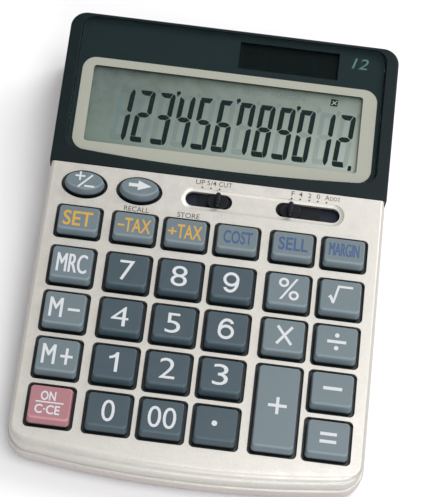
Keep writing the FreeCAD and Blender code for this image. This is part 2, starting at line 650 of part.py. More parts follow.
# Bottom case: moulded tray with sloping floor, screw posts, battery bay and seats for the feet
BAY_ROOF = "(hatch_thick + 2 * contact_thick + battery_height)"
BAY_HIGH = f"({BAY_ROOF} + floor_wall)"
REAR_FOOT = f"(({BACK} - {FRONT}) * cos{TILT} - rear_foot_setback)"
FEET = [(f"(({side}) * ({HALF_WIDE} - foot_inset))", end) for side in (-1, 1) for end in ("foot_setback", REAR_FOOT)]
HATCH_X = "(hatch_screw / 2 - battery_x)"
SCREW_X = "(hatch_screw - battery_x)"
TAIL_TOP = f"(({BOARD_FOOT} - {CASE_FOOT} + battery_setback * sin{TILT}) / cos{TILT} - tail_gap)"
PLUS_X = "(-battery_x - battery_radius - contact_thick / 2)"
PLAY = "contact_play"


def bottom_case():
    body = new_body("bottom_case")
    rim = new_sketch(body, "-cover_depth")
    outline(rim, HALF_WIDE, FRONT, BACK, "front_bow", "front_corner", "back_corner")
    pad(body, rim, down=True, up_to=new_plane(body, CASE_FOOT, FRONT, "-key_tilt"))
    lean = new_sketch(body, role="YZ_Plane")
    far, deep = f"{BACK} + {DISPLAY_LONG}", f"{CASE_FOOT} - {DISPLAY_LONG}"
    shift = f"{BACK} - ({DISPLAY_LONG} + front_depth) * tan(back_lean * 1 deg)"
    polygon(lean, [(BACK, "-cover_depth"), (shift, deep), (far, deep), (far, "-cover_depth")])
    pocket(body, lean, symmetric=True)
    slope = number(f"tan{TILT}")
    foot, front = number(CASE_FOOT), number(FRONT)
    round_edges(
        body,
        "bottom_edge",
        lambda edge: all(abs(point.z - foot + (point.y - front) * slope) < 0.01 for point in edge.discretize(3)),
    )
    hollow = new_sketch(body, "-cover_depth")
    half, fore, rear = f"({HALF_WIDE} - case_wall)", f"({FRONT} + case_wall)", f"({BACK} - back_wall)"
    outline(hollow, half, fore, rear, "(front_bow - case_wall)", "(front_corner - case_wall)", "back_corner")
    floor = new_plane(body, f"{CASE_FOOT} + floor_wall / cos{TILT}", FRONT, "-key_tilt")
    pocket(body, hollow, up_to=floor)
    for places in (FRONT_POSTS, REAR_POSTS):
        posts = new_sketch(body, "-cover_depth")
        circles(posts, "post_radius", places)
        setback = f"({places[0][1]} - {FRONT})"
        pad(body, posts, f"front_depth - floor_wall / 2 + {setback} * tan{TILT}", down=True)
    bay = bottom_sketch(body, "floor_wall / 2")
    bay_wide, bay_long = "(hatch_wide + 2 * hatch_rim)", "(hatch_long + 2 * hatch_rim)"
    rectangle(bay, bay_wide, bay_long, "hatch_corner", HATCH_X, "battery_setback")
    pad(body, bay, f"{BAY_HIGH} - floor_wall / 2")
    shanks = new_sketch(body, "-cover_depth")
    circles(shanks, "(bolt_radius + screw_gap)", FRONT_POSTS + REAR_POSTS)
    pocket(body, shanks)
    heads = new_sketch(body, "-cover_depth - post_web")
    circles(heads, "(bolt_head + bolt_room)", FRONT_POSTS + REAR_POSTS)
    pocket(body, heads)
    seats = bottom_sketch(body)
    circles(seats, "(foot_radius + foot_play)", FEET)
    pocket(body, seats, "foot_seat", down=False)
    hatch = bottom_sketch(body)
    wide, long = "(hatch_wide + 2 * hatch_gap)", "(hatch_long + 2 * hatch_gap)"
    rectangle(hatch, wide, long, "hatch_corner", HATCH_X, "battery_setback")
    pocket(body, hatch, "hatch_thick", down=False)
    cup = bottom_sketch(body)
    circles(cup, "(battery_radius + battery_play)", [("-battery_x", "battery_setback")])
    pocket(body, cup, BAY_ROOF, down=False)
    notch = bottom_sketch(body)
    notch_wide = f"(2 * (battery_radius + contact_thick + {PLAY}))"
    rectangle(notch, notch_wide, f"(contact_wide + 2 * {PLAY})", x="-battery_x", y="battery_setback")
    pocket(body, notch, BAY_ROOF, down=False)
    tails = bottom_sketch(body)
    for x in (PLUS_X, "(-battery_x)"):
        rectangle(tails, f"(contact_thick + 2 * {PLAY})", f"(contact_wide + 2 * {PLAY})", x=x, y="battery_setback")
    pocket(body, tails, down=False)
    screw = bottom_sketch(body)
    circles(screw, "(screw_radius + screw_gap)", [(SCREW_X, "battery_setback")])
    pocket(body, screw, "hatch_thick + screw_bite + screw_gap", down=False)
    on_keyboard(body)
    return body


# Top cover: the face with its key openings, a rolled nose, a rim lip and pillars for the boards
def rolled_block():
    """The cover's outside, with the face rolling further down at the front than at the sides."""
    block = new_body("cover_block")
    plan = new_sketch(block, "-cover_depth")
    half, fore = f"({HALF_WIDE} - lip_inset)", f"({FRONT} + lip_inset)"
    outline(plan, half, fore, f"({SEAM} - seam_gap)", "(front_bow - lip_inset)", "(front_corner - lip_inset)")
    pad(block, plan, "cover_depth")
    document.recompute()
    roll = document.addObject("Part::Fillet", "cover_roll")
    roll.Base = block
    near, far = number("side_roll"), number("front_roll")
    chosen = []
    for index, edge in enumerate(block.Shape.Edges, 1):
        ends = [vertex.Point for vertex in edge.Vertexes]
        if all(abs(end.z) < 0.01 for end in ends) and min(end.y for end in ends) < number(SEAM) - 1:
            start, stop = edge.valueAt(edge.FirstParameter), edge.valueAt(edge.LastParameter)
            radii = [near if abs(abs(end.x) - number(half)) < 0.01 else far for end in (start, stop)]
            chosen.append((index, *radii))
    roll.Edges = chosen
    document.recompute()
    return roll


def top_cover():
    block = rolled_block()
    body = new_body("top_cover")
    body.BaseFeature = block
    document.recompute()
    lip = new_sketch(body, "-cover_depth")
    outline(lip, HALF_WIDE, FRONT, f"({SEAM} - seam_gap)", "front_bow", "front_corner")
    pad(body, lip, "lip_height")
    ledge = level("lip_height - cover_depth")
    outside = number(HALF_WIDE) - 0.01
    front_line = number(FRONT) + number("front_corner")
    round_edges(
        body,
        "lip_edge",
        lambda edge: ledge(edge) and outer_edge(edge, outside, front_line),
    )
    cavity = new_sketch(body, "-cover_depth")
    wide = f"(2 * ({HALF_WIDE} - cover_wall))"
    rear = f"({SEAM} - seam_gap - case_wall)"
    fore = f"({FRONT} + front_wall)"
    rectangle(cavity, wide, f"({rear} - {fore})", "nose_corner", y=f"(({rear} + {fore}) / 2)")
    pocket(body, cavity, "cover_depth - face_wall", down=False)
    shoulders = new_sketch(body, GUIDE_TOP)
    circles(shoulders, "(pillar_radius + pillar_step)", BOARD_PILLARS)
    pad(body, shoulders, f"-face_wall / 2 - {GUIDE_TOP}")
    pillars = new_sketch(body, BOARD_TOP)
    circles(pillars, "pillar_radius", BOARD_PILLARS)
    pad(body, pillars, f"-face_wall / 2 - {BOARD_TOP}")
    posts = new_sketch(body, "-cover_depth")
    circles(posts, "post_radius", FRONT_POSTS)
    pad(body, posts, "cover_depth - face_wall / 2")
    small = new_sketch(body, BOARD_TOP)
    circles(small, "(screw_radius + screw_gap)", BOARD_PILLARS)
    pocket(body, small, "screw_bite + screw_gap", down=False)
    large = new_sketch(body, "-cover_depth")
    circles(large, "(bolt_radius + screw_gap)", FRONT_POSTS)
    pocket(body, large, "bolt_bite + screw_gap", down=False)
    hooks = new_sketch(body, "-hook_drop")
    hook_start, hook_end = f"({SEAM} - case_wall)", f"({SEAM} + hook_reach)"
    for x in HOOK_PLACES:
        rectangle(hooks, "hook_wide", f"({hook_end} - {hook_start})", x=x, y=f"(({hook_start} + {hook_end}) / 2)")
    pad(body, hooks, "hook_thick")
    band = new_sketch(body)
    band_long, band_high = switch_band()
    band_x = f"(({ROUNDING_X} - slot_step - knob_base / 2 + {DECIMAL_X} + 2 * slot_step + knob_base / 2) / 2)"
    rectangle(band, band_long, band_high, f"({band_high} / 2 - seam_gap)", band_x, OVAL_Y)
    pocket(body, band, "recess_depth")
    slots = new_sketch(body)
    for name, middle, steps, end, reach in SWITCHES:
        slot_long = f"({steps} * slot_step + knob_base + 2 * slot_end)"
        rectangle(slots, slot_long, "slot_high", "(slot_high / 2 - end_flat)", middle, OVAL_Y)
    pocket(body, slots)
    ovals = new_sketch(body)
    for name, x, y, long, is_oval in KEYS:
        if is_oval:
            oval(ovals, "oval_wide", long, x, y)
    pocket(body, ovals)
    for names in ROW_NAMES:
        openings = new_sketch(body)
        for name, x, y, long, is_oval in KEYS:
            if name in names:
                rectangle(openings, "opening_wide", long, "opening_radius", x, y)
        pocket(body, openings)
    on_keyboard(body)
    return body


HOOK_PLACES = [f"(({side}) * ({HALF_WIDE} - post_inset - hook_wide))" for side in (-1, 1)] + ["0"]


def switch_band():
    """Length and height of the sunk band around both switch slots."""
    left = f"({ROUNDING_X} - slot_step - knob_base / 2 - slot_end - recess_margin)"
    right = f"({DECIMAL_X} + 2 * slot_step + knob_base / 2 + slot_end + recess_margin)"
    return f"({right} - {left})", "(slot_high + 2 * recess_margin)"


def outer_edge(edge, outside, front_line):
    """True for the lip's outer edge, on the sides or round the front."""
    if edge.BoundBox.YMin < front_line:
        middle = edge.valueAt((edge.FirstParameter + edge.LastParameter) / 2)
        return bool(rim_distance(middle) < 0.05)
    return min(abs(point.x) for point in edge.discretize(3)) > outside


def rim_distance(point):
    """Distance of a point from the case's plan outline near the front."""
    half, corner, bow = number(HALF_WIDE), number("front_corner"), number("front_bow")
    bow_middle = Vector(0, number(FRONT) + bow, 0)
    drop = ((bow - corner) ** 2 - (half - corner) ** 2) ** 0.5
    corner_middle = Vector(half - corner, number(FRONT) + bow - drop, 0)
    flat = Vector(abs(point.x), point.y, 0)
    to_bow = abs(flat.sub(bow_middle).Length - bow)
    to_corner = abs(flat.sub(corner_middle).Length - corner)
    to_side = abs(flat.x - half)
    return min(to_bow, to_corner, to_side)


# Display housing: hollow moulding over the back of the case, with a shelf for the lens and windows
def display_housing():
    body = new_body("display_housing")
    plan = new_sketch(body, "-cover_depth")
    half, fore = HALF_WIDE, f"({SEAM} + seam_gap)"
    back_plate(plan, half, fore, BACK, "back_corner")
    pad(body, plan, up_to=display_plane(body, "0"))
    slope = number(f"tan{RISE}")
    seam = number(SEAM)
    start = seam + 1
    round_edges(
        body,
        "housing_edge",
        lambda edge: edge.BoundBox.YMax > start
        and all(abs(point.z - (point.y - seam) * slope) < 0.01 for point in edge.discretize(3)),
    )
    cavity = new_sketch(body, "-cover_depth")
    wide, rear, front = f"(2 * ({HALF_WIDE} - case_wall))", f"({BACK} - case_wall)", f"({fore} + case_wall)"
    rectangle(cavity, wide, f"({rear} - {front})", "(back_corner - case_wall)", y=f"(({rear} + {front}) / 2)")
    pocket(body, cavity, down=False, up_to=display_plane(body, SHELF_FOOT))
    recess = display_sketch(body, "0")
    outline(recess, LENS_HALF, "lens_front", LENS_BACK, "lens_bow", "lens_corner", "lens_corner")
    pocket(body, recess, f"-{SHELF_TOP}")
    inside = number(LENS_HALF) + 0.05
    round_edges(
        body,
        "rim_edge",
        lambda edge: max(abs(point.x) for point in edge.discretize(3)) < inside
        and edge.BoundBox.YMin > seam + 1
        and all(abs(point.z - (point.y - seam) * slope) < 0.01 for point in edge.discretize(3)),
    )
    windows = display_sketch(body, "0")
    lap = "2 * window_lap"
    wide, long = f"({WINDOW_WIDE} + {lap})", f"(window_long + {lap})"
    rectangle(windows, wide, long, "window_corner", WINDOW_X, WINDOW_MID)
    rectangle(windows, "cell_window_wide", "cell_window_long", x="cell_window_x", y=CELL_MID)
    pocket(body, windows)
    pillars = display_sketch(body, DISPLAY_BOARD_TOP)
    circles(pillars, "pillar_radius", DISPLAY_PILLARS)
    pad(body, pillars, f"{SHELF_FOOT} + shelf_thick / 2 - {DISPLAY_BOARD_TOP}")
    posts = new_sketch(body, "-cover_depth")
    circles(posts, "post_radius", REAR_POSTS)
    pad(body, posts, up_to=display_plane(body, f"({SHELF_FOOT} + shelf_thick / 2)"))
    small = display_sketch(body, DISPLAY_BOARD_TOP)
    circles(small, "(screw_radius + screw_gap)", DISPLAY_PILLARS)
    pocket(body, small, "screw_bite + screw_gap", down=False)
    large = new_sketch(body, "-cover_depth")
    circles(large, "(bolt_radius + screw_gap)", REAR_POSTS)
    pocket(body, large, "bolt_bite + screw_gap", down=False)
    slots = new_sketch(body, "-hook_drop - hook_play")
    for x in HOOK_PLACES:
        rectangle(slots, "(hook_wide + 2 * hook_play)", "(4 * case_wall)", x=x, y=fore)
    pocket(body, slots, "hook_thick + 2 * hook_play", down=False)
    on_keyboard(body)
    return body


# Lens, printed panel and pale frame, laid on the housing's shelf
def plate_on_display(name, height, thick, draw):
    """A flat piece parallel to the display, drawn by the given function."""
    body = new_body(name)
    plan = new_sketch(body, height)
    draw(plan)
    pad(body, plan, thick)
    on_display(body)
    return body


def lens_plan(sketch):
    half, back = f"({LENS_HALF} - lens_gap)", f"({LENS_BACK} - lens_gap)"
    corner = "(lens_corner - lens_gap)"
    outline(sketch, half, "(lens_front + lens_gap)", back, "(lens_bow - lens_gap)", corner, corner)


def frame_plan(sketch, room="0"):
    half, front = f"({FRAME_HALF} + {room})", f"(lens_front + frame_front - {room})"
    corner = f"(frame_corner + {room})"
    outline(sketch, half, front, f"({FRAME_BACK} + {room})", f"(frame_bow + {room})", corner, corner)


def display_lens():
    body = plate_on_display("display_lens", PRINT_TOP, "lens_thick", lens_plan)
    top = level("-lens_sink")
    round_edges(body, "lens_edge", top)
    return body


def printed_panel():
    body = plate_on_display("printed_panel", SHELF_TOP, "print_thick", lens_plan)
    holes = new_sketch(body, PRINT_TOP)
    frame_plan(holes, "print_gap")
    rectangle(holes, "cell_window_wide", "cell_window_long", x="cell_window_x", y=CELL_MID)
    pocket(body, holes)
    return body


def display_frame():
    body = plate_on_display("display_frame", SHELF_TOP, "print_thick", frame_plan)
    window = new_sketch(body, PRINT_TOP)
    rectangle(window, WINDOW_WIDE, "window_long", "window_corner", WINDOW_X, WINDOW_MID)
    pocket(body, window)
    return body


# Display glass, its two contact strips and the board behind it
def lcd_glass():
    def plan(sketch):
        rectangle(sketch, LCD_WIDE, LCD_LONG, x=WINDOW_X, y=LCD_MID)

    return plate_on_display("lcd_glass", LCD_FOOT, "lcd_thick", plan)


def contact_strips():
    def plan(sketch):
        for end in (-1, 1):
            y = f"({LCD_MID} + ({end}) * ({LCD_LONG} / 2 - strip_wide))"
            rectangle(sketch, f"({LCD_WIDE} - 2 * strip_wide)", "strip_wide", x=WINDOW_X, y=y)

    return plate_on_display("contact_strips", DISPLAY_BOARD_TOP, "strip_high", plan)


def display_board():
    back = f"({LCD_MID} + {LCD_LONG} / 2 + display_board_back)"
    half = f"({HALF_WIDE} - case_wall - board_inset)"

    def plan(sketch):
        long, middle = f"({back} - display_board_front)", f"(({back} + display_board_front) / 2)"
        rectangle(sketch, f"(2 * {half})", long, "board_corner", y=middle)

    body = plate_on_display("display_board", f"({DISPLAY_BOARD_TOP} - board_thick)", "board_thick", plan)
    holes = new_sketch(body, DISPLAY_BOARD_TOP)
    circles(holes, "(screw_radius + screw_gap)", DISPLAY_PILLARS)
    pocket(body, holes)
    return body


# Solar panel and its two leads to the display board
def solar_panel():
    def plan(sketch):
        lap = "2 * cell_lap"
        rectangle(sketch, f"(cell_window_wide + {lap})", f"(cell_window_long + {lap})", x="cell_window_x", y=CELL_MID)

    return plate_on_display("solar_panel", f"({SHELF_FOOT} - cell_thick)", "cell_thick", plan)


def solar_leads():
    lead_y = f"({CELL_MID} - cell_window_long / 2 - cell_lap + 2 * lead_radius)"
    places = [(f"(cell_window_x + ({side}) * cell_window_wide / 2)", lead_y) for side in (-1, 1)]

    def plan(sketch):
        circles(sketch, "lead_radius", places)

    length = f"{SHELF_FOOT} - cell_thick - {DISPLAY_BOARD_TOP}"
    return plate_on_display("solar_leads", DISPLAY_BOARD_TOP, length, plan)


# Ribbon cable between the two boards, in a loose loop under the seam
def ribbon_cable():
    body = new_body("ribbon_cable")
    section = new_sketch(body, role="YZ_Plane")
    board_foot = f"({DISPLAY_BOARD_TOP} - board_thick)"
    low = f"({BOARD_FOOT} - ribbon_sag)"
    upper = [
        (f"{BOARD_BACK} - ribbon_lap", BOARD_FOOT),
        (f"{BOARD_BACK} + ribbon_sag / 2", BOARD_FOOT),
        (f"{BOARD_BACK} + ribbon_sag", low),
        (f"{SEAM} + display_board_front - ribbon_sag", low),
        display_point("(display_board_front + ribbon_thick)", board_foot),
        display_point("(display_board_front + ribbon_lap)", board_foot),
    ]
    under = f"({board_foot} - ribbon_thick)"
    lower = [
        display_point("(display_board_front + ribbon_lap)", under),
        display_point("(display_board_front + 2 * ribbon_thick)", under),
        (f"{SEAM} + display_board_front - ribbon_sag", f"{low} - ribbon_thick"),
        (f"{BOARD_BACK} + ribbon_sag - ribbon_thick", f"{low} - ribbon_thick"),
        (f"{BOARD_BACK} + ribbon_sag / 2 - ribbon_thick", f"{BOARD_FOOT} - ribbon_thick"),
        (f"{BOARD_BACK} - ribbon_lap", f"{BOARD_FOOT} - ribbon_thick"),
    ]
    polygon(section, upper + lower)
    pad(body, section, "ribbon_wide", symmetric=True)
    on_keyboard(body)
    return body


# Main board with its potted chip and capacitor
BOARD_HALF = f"({HALF_WIDE} - case_wall - board_inset)"
CAN_X, CAN_Y = f"(({column(3)} + {column(4)}) / 2)", f"({row(0)} - can_long / 2)"


def main_board():
    body = new_body("main_board")
    plan = new_sketch(body, BOARD_FOOT)
    long, middle = f"({BOARD_BACK} - {BOARD_FRONT})", f"(({BOARD_BACK} + {BOARD_FRONT}) / 2)"
    rectangle(plan, f"(2 * {BOARD_HALF})", long, "board_corner", y=middle)
    pad(body, plan, "board_thick")
    notches = new_sketch(body, BOARD_TOP)
    reach = f"(2 * ({BOARD_HALF} - {POST_X} + post_radius + post_room))"
    depth = f"(2 * ({POST_Y} + post_radius + post_room - {BOARD_FRONT}))"
    for side in (-1, 1):
        rectangle(notches, reach, depth, x=f"(({side}) * {BOARD_HALF})", y=BOARD_FRONT)
    pocket(body, notches)
    holes = new_sketch(body, BOARD_TOP)
    circles(holes, "(screw_radius + screw_gap)", BOARD_PILLARS)
    pocket(body, holes)
    on_keyboard(body)
    return body


def controller_chip():
    body = new_body("controller_chip")
    plan = new_sketch(body, BOARD_FOOT)
    circles(plan, "chip_radius", [("0", "0")])
    pad(body, plan, "chip_height", down=True)
    round_edges(body, "chip_edge", level(f"{BOARD_FOOT} - chip_height"))
    on_keyboard(body)
    return body


def capacitor():
    body = new_body("capacitor")
    end = new_sketch(body, f"-({CAN_Y})", f"{BOARD_FOOT} - can_radius", role="XZ_Plane")
    circles(end, "can_radius", [(CAN_X, "0")])
    pad(body, end, "can_long", down=True)
    on_keyboard(body)
    return body


# Rubber mat: one sheet with a collapsing dome and a contact pill under every key
def key_places():
    return [(x, y) for name, x, y, long, is_oval in KEYS]


def dome_mat():
    body = new_body("dome_mat")
    plan = new_sketch(body, BOARD_TOP)
    left, right = f"{column(0)} - mat_margin", f"{column(5)} + mat_margin"
    turn_x, front = f"{column(1)} + mat_margin", f"{row(4)} - mat_margin"
    turn_y, back = f"{row(0)} + mat_margin", f"{OVAL_Y} + mat_margin"
    corners = [(left, front), (right, front), (right, turn_y), (turn_x, turn_y), (turn_x, back), (left, back)]
    polygon(plan, corners)
    pad(body, plan, "sheet_thick")
    domes = new_sketch(body, SHEET_TOP)
    circles(domes, "dome_radius", key_places())
    pad(body, domes, "dome_height", taper="-dome_slope")
    hollows = new_sketch(body, BOARD_TOP)
    circles(hollows, "(dome_radius - dome_wall / 2)", key_places())
    pocket(body, hollows, "sheet_thick + dome_height - dome_wall", down=False, taper="-dome_slope")
    pills = new_sketch(body, f"{CROWN} - dome_wall")
    circles(pills, "pill_radius", key_places())
    pad(body, pills, "pill_height", down=True)
    on_keyboard(body)
    return body


# Key guide: a plate with a hole for every stem and pegs that hold the mat down
def key_guide():
    body = new_body("key_guide")
    plan = new_sketch(body, GUIDE_FOOT)
    half = f"({HALF_WIDE} - cover_wall - guide_gap)"
    back = f"({SEAM} - seam_gap - case_wall - guide_gap)"
    long, middle = f"({back} - {BOARD_FRONT})", f"(({back} + {BOARD_FRONT}) / 2)"
    rectangle(plan, f"(2 * {half})", long, "nose_corner", y=middle)
    pad(body, plan, "guide_thick")
    pegs = new_sketch(body, GUIDE_FOOT)
    peg_columns = [f"(({column(first)} + {column(first + 1)}) / 2)" for first in (0, 3)]
    peg_rows = [f"(({row(first)} + {row(first + 1)}) / 2)" for first in range(4)]
    circles(pegs, "peg_radius", [(x, y) for x in peg_columns for y in peg_rows])
    pad(body, pegs, f"{GUIDE_FOOT} - {SHEET_TOP}", down=True)
    holes = new_sketch(body, GUIDE_TOP)
    circles(holes, "(stem_radius + stem_play)", key_places())
    circles(holes, "(pillar_radius + pillar_play)", BOARD_PILLARS)
    corners = [(f"(({side}) * {POST_X})", POST_Y) for side in (-1, 1)]
    circles(holes, "(post_radius + pillar_play)", corners)
    driver_slots(holes)
    pocket(body, holes)
    on_keyboard(body)
    return body


def driver_slots(sketch):
    """Slots for the legs that drive the switch wipers."""
    for name, middle, steps, end, reach in SWITCHES:
        long = f"({steps} * slot_step + driver_size + 2 * driver_play)"
        x = f"({middle} + ({end}) * driver_offset)"
        rectangle(sketch, long, "(driver_size + 2 * driver_play)", x=x, y=OVAL_Y)


# Switch plate under the two slots
def switch_plate():
    body = new_body("switch_plate")
    plan = new_sketch(body, PLATE_FOOT)
    reach = "(pillar_radius + pillar_step + plate_margin)"
    left, right = f"({BOARD_PILLARS[3][0]} - {reach})", f"({BOARD_PILLARS[5][0]} + {reach})"
    high = "(slot_high + 2 * shutter_lap + 2 * plate_margin)"
    rectangle(plan, f"({right} - {left})", high, "(2 * shutter_lap)", f"(({left} + {right}) / 2)", OVAL_Y)
    pad(body, plan, "plate_thick")
    holes = new_sketch(body, PLATE_TOP)
    circles(holes, "(pillar_radius + pillar_step + pillar_play)", BOARD_PILLARS[3:])
    driver_slots(holes)
    pocket(body, holes)
    on_keyboard(body)
    return body


# Switch knobs: fin, base and shutter in one moulding, with a leg that drives a sprung wiper
def rest_x(middle, steps, end):
    return f"({middle} + ({end}) * {steps} * slot_step / 2)"


def switch_knob(name, middle, steps, end, reach):
    body = new_body(f"{name}_knob")
    shutter = new_sketch(body, SHUTTER_FOOT)
    rectangle(shutter, f"(2 * {reach})", "(slot_high + 2 * shutter_lap)", "shutter_lap")
    pad(body, shutter, "shutter_thick")
    base = new_sketch(body, SHUTTER_TOP)
    rectangle(base, "knob_base", KNOB_WIDE, f"({KNOB_WIDE} / 2 - end_flat)")
    pad(body, base, f"-knob_sink - {SHUTTER_TOP}")
    round_edges(body, "fin_edge / 2", level("-knob_sink"))
    fin = new_sketch(body, "-knob_sink - shutter_thick / 2")
    rectangle(fin, "fin_wide", "fin_long", "(fin_wide / 2 - end_flat)")
    pad(body, fin, "fin_height + knob_sink + shutter_thick / 2")
    round_edges(body, "fin_edge", level("fin_height"))
    leg = new_sketch(body, SHUTTER_FOOT)
    rectangle(leg, "driver_size", "driver_size", x=f"(({end}) * driver_offset)")
    pad(body, leg, f"{SHUTTER_FOOT} - {WIPER_TOP}", down=True)
    on_keyboard(body, rest_x(middle, steps, end), OVAL_Y)
    return body


def switch_wiper(name, middle, steps, end):
    body = new_body(f"{name}_wiper")
    section = new_sketch(body, role="XZ_Plane")
    foot, under = f"{BOARD_TOP} + track_gap", f"{WIPER_TOP} - wiper_thick"
    right = [
        ("driver_size / 2", under),
        ("driver_size", foot),
        ("driver_size + wiper_thick", foot),
        ("driver_size / 2 + wiper_thick", WIPER_TOP),
    ]
    left = [(f"-({x})", z) for x, z in reversed(right)]
    polygon(section, right + left)
    pad(body, section, "driver_size - wiper_thick", symmetric=True)
    on_keyboard(body, f"({rest_x(middle, steps, end)} + ({end}) * driver_offset)", OVAL_Y)
    return body


# Keys: hollow cap with a sloping front, a flange that stops under the face, and a stem
def key_cap(name, wide, long, is_oval):
    body = new_body(name)
    cap_wide, cap_long = f"({wide} - 2 * key_gap)", f"({long} - 2 * key_gap)"
    top_wide, top_long = f"({cap_wide} - 2 * side_slope)", f"({cap_long} - front_slope - back_slope)"
    shift = "((front_slope - back_slope) / 2)"
    if is_oval:
        top_wide = f"({cap_wide} - front_slope - back_slope)"

    def section(height, across, along, radius, y_middle="0"):
        sketch = new_sketch(body, height)
        if is_oval:
            oval(sketch, across, along, y=y_middle)
        else:
            rectangle(sketch, across, along, radius, y=y_middle)
        return sketch

    reach = "2 * flange_reach"
    flange = section(FLANGE_FOOT, f"({wide} + {reach})", f"({long} + {reach})", "opening_radius")
    pad(body, flange, "flange_thick")
    skirt = section(FLANGE_FOOT, cap_wide, cap_long, "cap_corner")
    pad(body, skirt, f"cap_shoulder - {FLANGE_FOOT}")
    low = section("cap_shoulder", cap_wide, cap_long, "cap_corner")
    high = section("cap_height", top_wide, top_long, "cap_corner", shift)
    loft = body.newObject("PartDesign::AdditiveLoft", f"{name}_loft")
    loft.Profile = low
    loft.Sections = [high]
    loft.Ruled = True
    finish(body, loft)
    round_edges(body, "cap_edge", level("cap_height"))
    inner_wide, inner_long = f"({cap_wide} - 2 * cap_wall)", f"({cap_long} - 2 * cap_wall)"
    hollow = section(FLANGE_FOOT, inner_wide, inner_long, "(cap_corner / 2)")
    pocket(body, hollow, f"cap_height - cap_roof - {FLANGE_FOOT}", down=False)
    stem = new_sketch(body, "cap_height - cap_roof / 2")
    circles(stem, "stem_radius", [("0", "0")])
    pad(body, stem, f"cap_height - cap_roof / 2 - {STEM_END}", down=True)
    return body


KEY_KINDS = {
    "oval_long": key_cap("oval_key", "oval_wide", "oval_long", True),
    "short_opening_long": key_cap("short_key", "opening_wide", "short_opening_long", False),
    "opening_long": key_cap("square_key", "opening_wide", "opening_long", False),
    TALL_LONG: key_cap("tall_key", "opening_wide", TALL_LONG, False),
}


def key(name, x, y, long):
    """A key of one of the four kinds, at its own place."""
    body = new_body(f"key_{name}")
    body.BaseFeature = KEY_KINDS[long]
    on_keyboard(body, x, y)
    return body


# Battery: button cell, its two contacts, and the cover with one screw
def button_cell():
    body = new_body("button_cell")
    can = new_sketch(body)
    circles(can, "battery_radius", [("0", "0")])
    pad(body, can, "battery_height - cell_step")
    cap = new_sketch(body, "battery_height - cell_step")
    circles(cap, "(battery_radius - 2 * cell_step)", [("0", "0")])
    pad(body, cap, "cell_step")
    on_bottom(body, "-battery_x", "battery_setback", "hatch_thick + contact_thick")
    return body


def battery_contact_plus():
    """An L-shaped strip under the cell and up beside it, on to the board."""
    body = new_body("battery_contact_plus")
    section = new_sketch(body, role="XZ_Plane")
    low, outer = "hatch_thick", f"{PLUS_X} - contact_thick / 2"
    inner = f"{PLUS_X} + contact_thick / 2"
    foot_end = "-battery_x"
    corners = [
        (outer, low),
        (foot_end, low),
        (foot_end, f"{low} + contact_thick"),
        (inner, f"{low} + contact_thick"),
        (inner, TAIL_TOP),
        (outer, TAIL_TOP),
    ]
    polygon(section, corners)
    pad(body, section, "contact_wide", symmetric=True)
    on_bottom(body, "0", "battery_setback")
    return body


def battery_contact_minus():
    """A T-shaped leaf above the cell with a tail through the roof of its bay."""
    body = new_body("battery_contact_minus")
    section = new_sketch(body, role="XZ_Plane")
    low, high = f"{BAY_ROOF} - contact_thick", BAY_ROOF
    left, right = "-battery_x - contact_wide", "-battery_x + contact_wide"
    tail_left, tail_right = "-battery_x - contact_thick / 2", "-battery_x + contact_thick / 2"
    corners = [
        (left, low),
        (right, low),
        (right, high),
        (tail_right, high),
        (tail_right, TAIL_TOP),
        (tail_left, TAIL_TOP),
        (tail_left, high),
        (left, high),
    ]
    polygon(section, corners)
    pad(body, section, "contact_wide", symmetric=True)
    on_bottom(body, "0", "battery_setback")
    return body


def battery_cover():
    body = new_body("battery_cover")
    plan = new_sketch(body)
    rectangle(plan, "hatch_wide", "hatch_long", "(hatch_corner - hatch_gap)")
    pad(body, plan, "hatch_thick")
    hole = new_sketch(body)
    circles(hole, "(screw_radius + screw_gap)", [("hatch_screw / 2", "0")])
    pocket(body, hole, down=False)
    head = new_sketch(body)
    circles(head, "(screw_head + 2 * screw_gap)", [("hatch_screw / 2", "0")])
    pocket(body, head, "screw_cap", down=False)
    on_bottom(body, HATCH_X, "battery_setback")
    return body


# Fasteners and feet
def screw_group(name, head_foot, head_radius, head_high, shank_radius, shank_long, places):
    """Pan-head screws that point up, all with their heads at one level."""
    body = new_body(name)
    heads = new_sketch(body, head_foot)
    circles(heads, head_radius, places)
    pad(body, heads, head_high)
    round_edges(body, f"({head_high} / 3)", level(head_foot))
    shanks = new_sketch(body, head_foot)
    circles(shanks, shank_radius, places)
    pad(body, shanks, f"{head_high} + {shank_long}")
    slots = new_sketch(body, head_foot)
    for x, y in places:
        rectangle(slots, f"(2 * {head_radius} - 2 * driver_rim)", "driver_slot", x=x, y=y)
    pocket(body, slots, f"{head_high} / 2", down=False)
    return body


def small_screws():
    shape = ("screw_head", "screw_cap", "screw_radius")
    board = screw_group(
        "board_screws", f"({BOARD_FOOT} - screw_cap)", *shape, "(board_thick + screw_bite)", BOARD_PILLARS
    )
    on_keyboard(board)
    display_foot = f"({DISPLAY_BOARD_TOP} - board_thick - screw_cap)"
    display = screw_group(
        "display_screws", display_foot, *shape, "(board_thick + screw_bite)", DISPLAY_PILLARS
    )
    on_display(display)
    length = "(hatch_thick - screw_cap + screw_bite)"
    hatch = screw_group("hatch_screw_body", "0", *shape, length, [("0", "0")])
    on_bottom(hatch, SCREW_X, "battery_setback")
    group = document.addObject("Part::Compound", "small_screws")
    group.Links = [board, display, hatch]
    group.Label = "small_screws"
    document.recompute()
    return group


def case_screws():
    foot = "(-cover_depth - post_web - bolt_cap)"
    length = "(post_web + bolt_bite)"
    places = FRONT_POSTS + REAR_POSTS
    body = screw_group("case_screws", foot, "bolt_head", "bolt_cap", "bolt_radius", length, places)
    on_keyboard(body)
    return body


